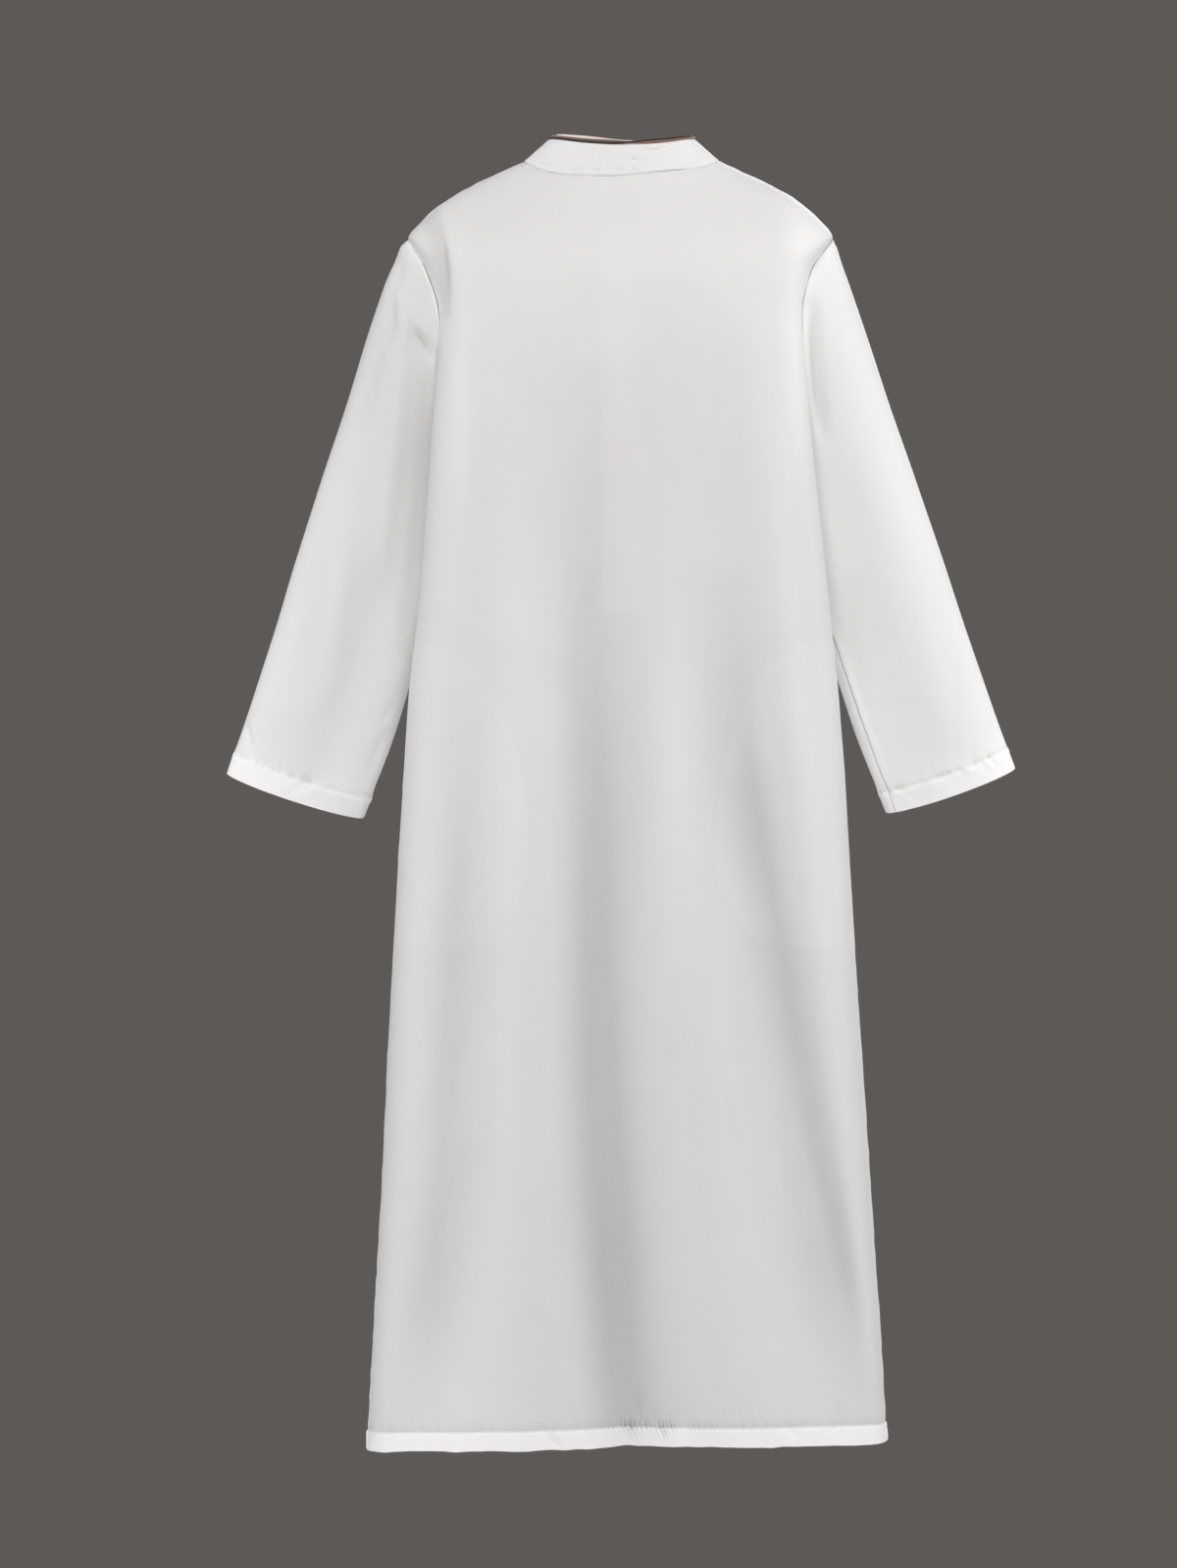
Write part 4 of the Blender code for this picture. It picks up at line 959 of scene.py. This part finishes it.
def make_front():
    """The front, with its middle column doubled down to the slit's end, so that the slit is open."""
    grid, tint = shaped_panel(True)
    rows, columns = grid["z"].shape
    centre = SIDE_COLUMNS + BAND_COLUMNS // 2
    take = np.concatenate([np.arange(centre + 1), np.arange(centre, columns)])
    shaped, normals, z, above = (grid[key][:, take] for key in ("shaped", "normals", "z", "above"))
    index = np.arange(rows * (columns + 1)).reshape(rows, columns + 1)
    joined = z[:, 0] <= SLIT_END_Z
    index[joined, centre + 1] = index[joined, centre]
    shaped[~joined, centre, 0] += 0.0002
    shaped[~joined, centre + 1, 0] -= 0.0002
    quads = quads_of(index)
    slit = np.isin(quads[:, 0], index[:, centre]) & np.isin(quads[:, 3], index[:, centre + 1])
    piece = shell(
        "front_cloth", "cloth", shaped, normals, thickness(above), index=index, tint=tint[:, take], keep=~slit
    )
    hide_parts("front_panel")
    return piece, grid


back_cloth, back_grid = make_back()
front_cloth, front_grid = make_front()


# ---------------- sleeves

# (x, z) line, half width, depth; a negative width puts the crease on the front of the sleeve
SLEEVE_STROKES = {
    "left": (
        (((0.245, -0.146), (0.227, -0.171), (0.210, -0.195), (0.200, -0.220)), 0.0042, -0.0046),
        (((0.224, -0.186), (0.212, -0.203), (0.203, -0.218)), 0.0052, 0.0048),
        (((0.244, -0.162), (0.235, -0.182), (0.233, -0.203)), 0.0044, -0.0034),
        (((0.250, -0.142), (0.250, -0.174), (0.255, -0.206)), 0.0060, 0.0040),
        (((0.238, -0.105), (0.242, -0.131), (0.247, -0.152)), 0.0060, 0.0022),
        (((0.236, -0.186), (0.243, -0.273), (0.251, -0.358), (0.262, -0.460)), 0.0120, -0.0042),
        (((0.209, -0.225), (0.212, -0.300), (0.222, -0.400), (0.240, -0.550)), 0.0105, 0.0044),
        (((0.255, -0.614), (0.267, -0.639), (0.279, -0.666)), 0.0050, 0.0018),
        (((0.245, -0.582), (0.256, -0.599), (0.265, -0.615)), 0.0040, 0.0014),
        (((0.414, -0.608), (0.409, -0.625), (0.406, -0.645)), 0.0028, 0.0030),
        (((0.326, -0.420), (0.338, -0.506), (0.358, -0.591)), 0.0120, 0.0018),
        (((0.295, -0.377), (0.307, -0.484), (0.319, -0.591)), 0.0120, -0.0018),
        (((0.256, -0.180), (0.272, -0.250), (0.290, -0.315)), 0.0080, 0.0030),
        (((0.187, -0.128), (0.176, -0.193), (0.176, -0.255)), -0.0100, 0.0020),
        (((0.272, -0.357), (0.274, -0.428), (0.264, -0.493)), -0.0100, 0.0016),
        (((0.266, -0.307), (0.293, -0.422), (0.339, -0.541)), -0.0140, 0.0016),
    ),
    "right": (
        (((-0.207, -0.150), (-0.206, -0.190), (-0.210, -0.248), (-0.219, -0.306)), 0.0065, 0.0070),
        (((-0.245, -0.441), (-0.251, -0.505), (-0.264, -0.591), (-0.278, -0.656)), 0.0100, 0.0020),
        (((-0.339, -0.420), (-0.363, -0.527), (-0.377, -0.607)), 0.0160, 0.0012),
        (((-0.186, -0.144), (-0.174, -0.200), (-0.169, -0.264)), -0.0100, 0.0020),
        (((-0.280, -0.370), (-0.276, -0.434), (-0.270, -0.508)), -0.0100, 0.0016),
        (((-0.261, -0.284), (-0.297, -0.416), (-0.346, -0.544)), -0.0140, 0.0015),
    ),
}
# what else differs between them: the underarm seam's turn, the noise, how full each part is, and the painted
# light and shade on each part
SLEEVE_LOOKS = {
    "left": {
        "seam_turn": math.radians(-168), "seed": 101, "head": 0.0034, "cuff_groove": 0.0003,
        "top_light": 0.98, "cuff_light": 1.13, "inner_lighter": 0.14, "cuff_lighter": 0.14,
        "cuff_line": 0.05, "armhole_lighter": 0.16, "seam_darker": 0.22,
    },
    "right": {
        "seam_turn": math.radians(152), "seed": 131, "head": 0.0014, "cuff_groove": 0.0006,
        "top_light": 1.12, "cuff_light": 1.21, "inner_lighter": 0.05, "cuff_lighter": 0.09,
        "cuff_line": -0.03, "armhole_lighter": 0.0, "seam_darker": 0.52,
    },
}
WHITEST = 1.33
SLEEVE_RADIUS = 0.055  # near enough for lengths round it


def sleeve_grid(name):
    """A sleeve's points from armhole to cuff, with columns close together beside the underarm seam."""
    sleeve, seam_turn = SLEEVES[name], SLEEVE_LOOKS[name]["seam_turn"]
    turns = np.linspace(0, math.tau, 2 * ARMHOLE_ROWS, endpoint=False)
    beside_seam = (seam_turn + np.array(BESIDE_SEAM)) % math.tau
    turns = np.unique(np.round(np.concatenate([turns, beside_seam]), 5))
    signed = np.where(turns <= math.pi, turns, turns - math.tau)
    _, starts = sleeve_start(sleeve, signed)
    shares = np.linspace(0, 1, SLEEVE_ROWS + 1)[:, None]
    cuff_runs = np.broadcast_to(np.linspace(CUFF_BAND, 0, CUFF_ROWS)[:, None], (CUFF_ROWS, len(turns)))
    run = np.concatenate([starts + (CUFF_BAND + ROW_GAP - starts) * shares, cuff_runs])
    turn = np.broadcast_to(signed, run.shape)
    beside = ((turn - seam_turn + math.pi) % math.tau - math.pi) * SLEEVE_RADIUS
    return {
        "points": sleeve_point(sleeve, turn, run), "normals": sleeve_normal(sleeve, turn, run),
        "turn": turn, "run": run, "from_top": starts - run, "above": run - CUFF_BAND,
        "beside": beside, "seam": np.abs(beside),
    }


def cuff_parts(grid, seed):
    """How hard a cuff's stitching pulls at each point, and the puckers there."""
    above = grid["above"]
    length = grid["turn"] * 0.062 + 0.45 * np.clip(-above, 0, CUFF_BAND)
    ripple = noise(length, above * 0.2, 0.0030, seed + 1) + 0.6 * noise(length, above * 0.3, 0.0075, seed + 2)
    pull = fading(above, 0.006) * fading(-above, 0.010) * (0.55 + 0.5 * noise(length, 0, 0.022, seed + 5))
    return pull, ripple


def sleeve_folds(grid, name):
    x, z = grid["points"][..., 0], grid["points"][..., 2]
    at_back = np.sin(grid["turn"]) > 0
    folded = np.zeros(x.shape)
    for line, width, depth in SLEEVE_STROKES[name]:
        facing = at_back if width > 0 else ~at_back
        folded += stroke(x, z, line, abs(width), depth) * facing
    return folded


def sleeve_relief(grid, looks, folded):
    turn, run, from_top, above, seam = (grid[key] for key in ("turn", "run", "from_top", "above", "seam"))
    seed = looks["seed"]
    pull, ripple = cuff_parts(grid, seed)
    head = bell(from_top - 0.007, 0.013) * ease(from_top / 0.007) * ramp(np.cos(turn), -0.1, 0.9)
    # the seam at the armhole, with puckers, and the fuller head below it
    relief = seam_ridge(from_top, 0.0005) + looks["head"] * head
    relief += 0.0007 * noise(turn * 0.08, from_top * 0.3, 0.010, seed) * fading(from_top, 0.014)
    # the cuff, which flares a little at the back
    relief += turned_in(above, looks["cuff_groove"]) + 0.0018 * ripple * pull
    relief += 0.0022 * np.clip(-above / CUFF_BAND, 0, 1) * np.clip(np.sin(turn), 0, 1)
    # the underarm seam
    relief += groove(seam, 0.0016, 0.0009)
    relief += 0.0004 * noise(run, seam * 0.2, 0.008, seed + 3) * fading(seam, 0.009)
    relief += folded * ease(np.abs(np.sin(turn)) / 0.15)
    return relief + 0.0010 * noise(turn * 0.06 + 2 * seed, run * 0.4, 0.035, seed + 4)


def sleeve_painted_light(grid, looks, folded, side):
    """How light a sleeve is: painted light and painted shade along it, in its folds and seams, on its inner
    side and at the cuff's puckers and stitching, with the cuff's doubled cloth lighter.
    """
    turn, from_top, above = grid["turn"], grid["from_top"], grid["above"]
    pull, ripple = cuff_parts(grid, looks["seed"])
    # painted light: lighter towards the cuff, and the right sleeve lighter than the left
    shade = looks["top_light"] + (looks["cuff_light"] - looks["top_light"]) * ease(from_top / 0.56)
    shade *= crease_shade(folded)
    # painted light on the back of the inner side and over and just above the cuff, painted shade near the
    # inner edge in the upper part
    inner = ramp(-np.cos(turn), 0.02, 0.55) * (np.sin(turn) > 0) * ramp(from_top, 0.05, 0.12)
    near_edge = ramp(-np.cos(turn), 0.78, 0.22) * (1 - ramp(from_top, 0.22, 0.22))
    shade *= 1 + looks["inner_lighter"] * (inner - near_edge) + 0.08 * fading(above, 0.030)
    # painted highlight along the armhole seam
    shade *= 1 + looks["armhole_lighter"] * bell(from_top, LINE_WIDTH)
    # painted shade in the underarm seam
    shade *= 1 - looks["seam_darker"] * bell(grid["seam"], 0.0009)
    # painted highlight on a strip beside the underarm seam
    shade *= 1 + 0.12 * bell(grid["beside"] * side - 0.0065, 0.0045)
    shade *= 1 + looks["cuff_lighter"] * ease(-above / 0.0015)
    # painted shade and painted light on the cuff's puckers
    shade *= 1 + 0.20 * np.clip(ripple, -0.8, 0.5) * pull
    # painted light along the left cuff's stitching and painted shade along the right one's
    shade *= 1 + looks["cuff_line"] * bell(above - 0.0006, LINE_WIDTH)
    return np.minimum(shade, WHITEST)


def make_sleeve(name):
    grid, looks = sleeve_grid(name), SLEEVE_LOOKS[name]
    folded = sleeve_folds(grid, name)
    tint = sleeve_painted_light(grid, looks, folded, SLEEVES[name]["side"])
    grid["shaped"] = grid["points"] + grid["normals"] * (sleeve_relief(grid, looks, folded) - SUNK)[..., None]
    thick = thickness(grid["above"])
    piece = shell(
        f"sleeve_cloth_{name}", "cloth", grid["shaped"], grid["normals"], thick, closed=True, tint=tint
    )
    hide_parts(f"sleeve_{name}")
    return piece, grid


sleeve_left, left_grid = make_sleeve("left")
sleeve_right, right_grid = make_sleeve("right")


# ---------------- collar

BAND_HEIGHT = 0.036  # near enough for marks on the collar
BAND_RADIUS = 0.092
NECK_RADIUS = 0.078
BAND_THICK = 0.0009
COLLAR_ANGLES = np.linspace(math.pi - LAP_ANGLE, math.pi * 3 + LAP_ANGLE, COLLAR_COLUMNS + 1)


def collar_top(angle):
    """The collar's upper edge, which dips at the front and a little at the back."""
    sine, cosine = np.sin(angle), np.cos(angle)
    y = np.where(cosine > 0, COLLAR_TOP_BACK_Y, COLLAR_TOP_FRONT_Y) * cosine
    dip = np.where(cosine > 0, COLLAR_DIP_BACK, COLLAR_DIP_FRONT)
    return vector(COLLAR_TOP_HALF_WIDTH * sine, y, COLLAR_TOP_Z - dip * cosine * cosine)


def collar_frame(angle):
    """The neck's points under the collar, the collar's rise and its outward direction."""
    base = body_point(0, angle)
    rise = collar_top(angle) - base
    step = 0.01
    run = body_point(0, angle + step) - body_point(0, angle - step)
    outward = unit(np.cross(rise, run))
    facing = np.sign(outward[..., 0] * base[..., 0] + outward[..., 1] * base[..., 1])
    return base, rise, outward * facing[..., None]


def collar_point(angle, share, above, out):
    """Points at a share of the collar's height, a distance above that and a distance out."""
    base, rise, outward = collar_frame(angle)
    lap = COLLAR_LAP * ramp(angle, LAP_START, LAP_LENGTH)
    return base + rise * share[..., None] + unit(rise) * above[..., None] + outward * (out + lap)[..., None]


def collar_creases(angle, share):
    """Two short creases at the back of the band."""
    x, up = np.sin(angle) * BAND_RADIUS, share * BAND_HEIGHT
    long = stroke(x, up, ((-0.022, 0.0285), (-0.038, 0.0255), (-0.056, 0.0285)), 0.0020, 0.0032)
    short = stroke(x, up, ((-0.008, 0.0180), (-0.018, 0.0172)), 0.0016, 0.0020)
    return (long + short) * (np.cos(angle) > 0)


def band_relief(angle, share):
    length = angle * NECK_RADIUS
    roll = groove(share, 0.035, 0.0006) + 0.0004 * bell(share - 0.09, 0.05)
    pucker = 0.00035 * noise(length, share * 0.02, 0.005, 61) * fading(share, 0.30)
    slow = 0.0006 * noise(length, share * 0.03, 0.030, 62)
    return roll + pucker + slow + collar_creases(angle, share) + groove(1 - share, 0.05, 0.0004)


def facing_relief(angle, share):
    return 0.0003 * noise(angle * NECK_RADIUS, share * 0.02, 0.012, 64)


def facing_stand(angle):
    """How far the inner layer stands above the collar's edge: more towards the wearer's left."""
    low = np.where(np.cos(angle) > 0, -0.022, 0.000)
    high = np.where(np.cos(angle) > 0, 0.048, 0.050)
    return 0.0045 + 0.0038 * ramp(collar_top(angle)[..., 0], low, high - low)


def collar_sheet(name, shares, above, out, relief, creased):
    """One layer of the collar, with painted shade and painted highlight at its sewn foot and painted shade on
    its puckers and, where creased, its creases; a row is given by its share of the height and more above it.
    """
    angle = np.broadcast_to(COLLAR_ANGLES, above.shape)
    share = np.broadcast_to(shares[:, None], above.shape)
    _, _, outward = collar_frame(angle)
    points = collar_point(angle, share, above, out + relief(angle, share))
    # painted shade in the seam at the collar's foot, a painted highlight just above it, and painted shade on
    # puckers in its lower part
    sewn_line_light_and_shade = 0.06 * bell(share - 0.07, 0.030) - 0.15 * bell(share - 0.005, 0.018)
    puckers = np.clip(noise(angle * NECK_RADIUS, share * 0.03, 0.0065, 63), 0, 1)
    shade = 1 + (sewn_line_light_and_shade - 0.07 * puckers * bell(share - 0.20, 0.11)) * (above < 0.001)
    if creased:
        shade *= crease_shade(collar_creases(angle, share))
    return shell(name, "collar", points, outward, BAND_THICK, tint=shade), points, outward


def make_collar():
    shares = np.linspace(0, 1, COLLAR_ROWS + 1)
    above = np.zeros((len(shares), len(COLLAR_ANGLES)))
    above[0] = 0.0001
    band, points, outward = collar_sheet("collar_cloth", shares, above, -0.0001, band_relief, True)
    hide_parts("collar_band")
    stand = facing_stand(COLLAR_ANGLES) * np.array([1, 2, 3])[:, None] / 3
    above = np.concatenate([np.zeros(above.shape), stand])
    shares = np.concatenate([shares, [1, 1, 1]])
    facing, _, _ = collar_sheet("collar_lining", shares, above, -0.0015, facing_relief, False)
    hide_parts("collar_facing")
    return band, facing, (points[1], outward[1])


PLY_SHARE = 0.6  # a ply's radius over its cord's
CORD_LOW, CORD_HIGH = 0.00125, 0.00395  # heights of the two cords over the collar's edge


def cord(name, material, centre, across, up, radius, plies, pitch, seed):
    """Plies twisted round each other along a line of centres."""
    lengths = lengths_along(centre)
    taper = ease(np.minimum(lengths, lengths[-1] - lengths) / 0.004 + 0.15)
    points, faces = [], []
    for ply in range(plies):
        phase = math.tau * (lengths / pitch + ply / plies)
        away = across * np.cos(phase)[:, None] + up * np.sin(phase)[:, None]
        line = centre + away * (radius * (1 - PLY_SHARE))
        thick = radius * PLY_SHARE * (1 + 0.05 * noise(lengths, 0, 0.0015, seed + ply)) * taper
        faces += tube_faces(len(points), len(line), CORD_TURN)
        for k, half in enumerate(thick):
            points += list(ring(line[k], across[k] * half, up[k] * half, CORD_TURN))
    piece = mesh_object(name, material, points, faces, sharp=None)
    return piece


def make_trim():
    """A copper twist and a black cord that lie one over the other along the collar's top edge."""
    angle = np.linspace(math.pi - LAP_ANGLE, math.pi * 3 + LAP_ANGLE, CORD_RINGS)
    edge = np.ones(angle.shape)
    _, rise, outward = collar_frame(angle)
    up = unit(rise)
    x = collar_top(angle)[..., 0]
    swap = (CORD_HIGH - CORD_LOW) * ramp(x, -0.035, 0.050)
    bulge = 0.0009 * bell(x + 0.010, 0.016)
    centre = collar_point(angle, edge, CORD_LOW + swap, 0.0002 - bulge * 0.5)
    copper = cord("trim_copper", "copper", centre, outward, up, 0.00130, plies=3, pitch=0.0065, seed=71)
    centre = collar_point(angle, edge, CORD_HIGH - swap, 0.0002 + bulge)
    black = cord("trim_black", "black", centre, outward, up, 0.00125, plies=2, pitch=0.0060, seed=75)
    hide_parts("collar_trim")
    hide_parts("collar_trim")
    return [copper, black]


collar_band, collar_facing, collar_seam = make_collar()
trim = make_trim()


# ---------------- placket

BAND_TOP_Z = -0.006
BAND_LIFT = 0.0014
BOX_HEIGHT = 0.036  # of the stitched box at the placket's end


def band_sheet(name, lift, thick, replaces, puckers):
    """One band of the placket, lifted off the front's cloth, with puckers along its stitching."""
    levels = front_grid["z"][:, 0]
    rows = (levels < BAND_TOP_Z) & (levels >= PLACKET_END_Z - 1e-6)
    points, normals, z = (front_grid[key][rows, BAND] for key in ("shaped", "normals", "z"))
    x = points[..., 0]
    from_edge = np.minimum(PLACKET_LEFT - x, x - PLACKET_RIGHT)
    relief = np.zeros(x.shape)
    if puckers:
        end = z - PLACKET_END_Z
        relief += 0.0003 * noise(z, x * 0.3, 0.006, 81) * fading(from_edge, 0.006)
        for distance in (from_edge - SEW_IN, end - SEW_IN, end - BOX_HEIGHT):
            relief += groove(distance, 0.0012, 0.0005)
    shaped = points + normals * (lift + relief)[..., None]
    piece = shell(name, "cloth", shaped, normals, thick, tint=np.ones(x.shape))
    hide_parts(replaces)
    return piece, shaped, normals, z[:, 0]


placket_over, over_points, over_normals, over_z = band_sheet(
    "placket_cloth", BAND_LIFT, 0.0010, "placket_over", True
)
placket_under, _, _, _ = band_sheet("placket_facing", -BAND_LIFT, 0.0009, "placket_under", False)


# ---------------- buttons

BUTTON_RADIUS = 0.00575
# share of the radius, and height, from the middle of the underside round to the middle of the top
BUTTON_PROFILE = (
    (0.0, 0.0), (0.78, 0.0), (0.93, 0.0004), (1.0, 0.0011), (0.985, 0.0018), (0.93, 0.0023), (0.86, 0.0024),
    (0.78, 0.0021), (0.70, 0.0017), (0.35, 0.00155), (0.0, 0.0015),
)
BUTTON_TURN = 40
HOLE_OUT = 0.0012  # from the middle, both ways
HOLE_RADIUS = 0.00052
HOLE_TOP, HOLE_BOTTOM = 0.00162, 0.00120
THREAD_HEIGHT = 0.00175
THREAD_LANE = 0.00022


def lathe(profile, corners):
    """Points and faces of a solid turned from a profile that starts and ends on the axis."""
    points, faces = [(0, 0, profile[0][1])], []
    for radius, height in profile[1:-1]:
        points += list(ring((0, 0, height), (radius, 0, 0), (0, radius, 0), corners))
    points.append((0, 0, profile[-1][1]))
    last = len(points) - 1
    for s in range(corners):
        t = (s + 1) % corners
        faces.append((0, 1 + t, 1 + s))
        for low in range(1, last - corners, corners):
            faces.append((low + s, low + t, low + corners + t, low + corners + s))
        faces.append((last - corners + s, last - corners + t, last))
    return points, faces


def make_button(node_name):
    """A four-hole button with its thread, where the solid has it."""
    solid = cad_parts[node_name]
    coords = np.array([solid.matrix_world @ v.co for v in solid.data.vertices])
    centre = coords.mean(axis=0)
    _, _, axes = np.linalg.svd(coords - centre)
    normal = axes[2] if axes[2][1] < 0 else -axes[2]
    foot = Vector(centre + normal * ((coords - centre) @ normal).min())
    turned = Matrix.Translation(foot) @ Vector(normal).to_track_quat("Z", "Y").to_matrix().to_4x4()

    def placed(points):
        return [tuple(turned @ Vector(p)) for p in points]

    points, faces = lathe([(share * BUTTON_RADIUS, height) for share, height in BUTTON_PROFILE], BUTTON_TURN)
    button = mesh_object(f"{node_name}_disc", "button", placed(points), faces, sharp=60)
    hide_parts(node_name)
    # the holes are dark plugs: painted shade in place of holes through the button
    points, faces = [], []
    for dx in (-HOLE_OUT, HOLE_OUT):
        for dy in (-HOLE_OUT, HOLE_OUT):
            faces += tube_faces(len(points), 2, HOLE_TURN)
            for height in (HOLE_TOP, HOLE_BOTTOM):
                points += list(ring((dx, dy, height), (HOLE_RADIUS, 0, 0), (0, HOLE_RADIUS, 0), HOLE_TURN))
    holes = mesh_object(f"{node_name}_holes", "hole", placed(points), faces, sharp=30)
    rows = []
    for dy in (-HOLE_OUT, HOLE_OUT):
        for lane in (-THREAD_LANE, THREAD_LANE):
            path = placed([(x, dy + lane, THREAD_HEIGHT) for x in (-0.0013, 0.0, 0.0013)])
            rows.append((np.array(path), np.array([normal] * 3)))
    thread = stitches(f"{node_name}_thread", rows, length=0.0027, radius=0.00024)


for button_name in ("button_collar", "button_1", "button_2", "button_3", "button_4"):
    make_button(button_name)


# ---------------- pocket bags

POCKET_COLUMNS = 30
POCKET_START = 0.0042  # from the side seam
LEAF = 0.0004  # how thick a leaf of a bag is made
LEAF_GAP = 0.0009


def make_pocket(name, side):
    """A flat bag of two leaves that hangs just inside the back, sewn round and open at the side seam."""
    levels = back_grid["z"][:, 0]
    rows = np.where((levels < POCKET[0][0] - 0.001) & (levels > POCKET[-1][0] + 0.001))[0]
    points, normals = [], []
    for row in rows:
        from_side = back_grid["left"][row] if side > 0 else back_grid["right"][row][::-1]
        half = len(from_side) // 2
        x = np.abs(back_grid["x"][row][::side])
        reach = np.interp(levels[row], [z for z, _ in reversed(POCKET)], [r for _, r in reversed(POCKET)])
        inner_end = np.interp(-reach, -x[:half], from_side[:half])
        at = np.linspace(POCKET_START, max(inner_end, POCKET_START + 0.003), POCKET_COLUMNS + 1)
        points.append(places_at(at, from_side, back_grid["shaped"][row][::side]))
        normals.append(places_at(at, from_side, back_grid["normals"][row][::side]))
    points, normals = np.array(points), unit(np.array(normals))
    height = np.linspace(0, 1, len(rows))[:, None]
    share = np.linspace(0, 1, POCKET_COLUMNS + 1)[None, :]
    # the near leaf hangs 3 to 7 mm inside the back, and the leaves are furthest apart in the middle
    belly = 0.0016 * np.sin(math.pi * height) * np.sin(math.pi * np.clip(share, 0, 0.5))
    wave = 0.0006 * noise(height * 0.33, share * 0.12, 0.03, 91)
    drop = 0.0030 + 0.0028 * ease(share / 0.25) + belly * 0.4 + np.abs(wave)
    near = points - normals * drop[..., None]
    far = near - normals * (LEAF_GAP + LEAF + belly)[..., None]
    outer = np.concatenate([near, far[:, ::-1]], axis=1)
    outward = np.concatenate([normals, -normals[:, ::-1]], axis=1)
    piece = shell(f"pocket_cloth_{name}", "plain", outer, outward, LEAF)
    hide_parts(f"pocket_{name}")
    return piece


pocket_left = make_pocket("left", 1)
pocket_right = make_pocket("right", -1)


# ---------------- stitching

def stitching():
    """The rows of stitches: at the hem, at each cuff, along the collar's seam, and along the placket's edges
    and across it at its end.
    """
    hem = int(np.argmin(np.abs(back_grid["above"][:, 0])))
    rows = [(grid["shaped"][hem], grid["normals"][hem]) for grid in (back_grid, front_grid)]
    pieces = [stitches("hem_stitches", rows)]
    for name, grid in (("left", left_grid), ("right", right_grid)):
        around = np.append(np.arange(grid["run"].shape[1]), 0)
        row = (grid["shaped"][SLEEVE_ROWS + 1, around], grid["normals"][SLEEVE_ROWS + 1, around])
        pieces.append(stitches(f"cuff_stitches_{name}", [row]))
    pieces.append(stitches("collar_stitches", [collar_seam], 0.0019, 0.0014, 0.00024))
    edges = [(over_points[:, k], over_normals[:, k]) for k in (1, BAND_COLUMNS - 1)]
    for height in (0.0025, BOX_HEIGHT):
        row = int(np.argmin(np.abs(over_z - PLACKET_END_Z - height)))
        edges.append((over_points[row, 1:-1], over_normals[row, 1:-1]))
    pieces.append(stitches("placket_stitches", edges))
    return pieces


sewn = stitching()

# ---------------- stage, light and camera

FLOOR_HALF = 3.0
FLOOR_Z = -1.90
CAMERA_DISTANCE = 8
VIEW_HEIGHT = 1.7045  # in metres, at the robe
SENSOR = 36
# name, place, point lit, size, power
LIGHTS = (
    ("right", (-3.103, 0.547, 0.356), (0, 0, -0.2), 1.6, 53),
    ("left", (4.849, 0.855, -0.032), (0, 0, -0.9), 2.0, 63),
    ("left_low", (3.973, 1.852, -0.616), (0, 0, -1.0), 2.0, 26),
    ("over", (0, 2.828, 3.171), (0, 0, -0.2), 2.0, 95),
    ("front", (0, 5.826, 1.421), (0, 0, -0.7), 2.6, 120),
    ("far_side", (-1.5, -5.6, 1.9), (0, 0, -0.7), 2.6, 245),
)


def make_stage():
    mesh = bpy.data.meshes.new("floor")
    corners = ((-1, -1), (1, -1), (1, 1), (-1, 1))
    mesh.from_pydata([(FLOOR_HALF * x, FLOOR_HALF * y, FLOOR_Z) for x, y in corners], [], [(0, 1, 2, 3)])
    mesh.materials.append(new_material("pale_floor", (0.62, 0.61, 0.60), 0.85)[0])
    floor = bpy.data.objects.new("floor", mesh)
    scene.collection.objects.link(floor)
    world = bpy.data.worlds.new("studio")
    world.use_nodes = True
    world.node_tree.nodes["Background"].inputs["Color"].default_value = (0.109, 0.100, 0.093, 1)
    world.node_tree.nodes["Background"].inputs["Strength"].default_value = 1.0
    scene.world = world
    for name, place, target, size, power in LIGHTS:
        light = bpy.data.lights.new(name, "AREA")
        light.shape = "SQUARE"
        light.size = size
        light.energy = power
        lamp = bpy.data.objects.new(name, light)
        lamp.location = place
        lamp.rotation_euler = (Vector(target) - Vector(place)).to_track_quat("-Z", "Y").to_euler()
        scene.collection.objects.link(lamp)


def make_camera():
    """The photograph's view, from behind and level with the robe's middle."""
    camera = bpy.data.cameras.new("camera")
    camera.sensor_width = SENSOR
    camera.lens = SENSOR * CAMERA_DISTANCE / VIEW_HEIGHT
    camera.clip_end = 60
    eye = bpy.data.objects.new("camera", camera)
    eye.location = (0.0362, CAMERA_DISTANCE, -0.6764)
    eye.rotation_euler = (math.pi / 2, 0, math.pi)
    scene.collection.objects.link(eye)
    scene.camera = eye


make_stage()
make_camera()
scene.view_settings.view_transform = "Standard"
scene.view_settings.look = "None"
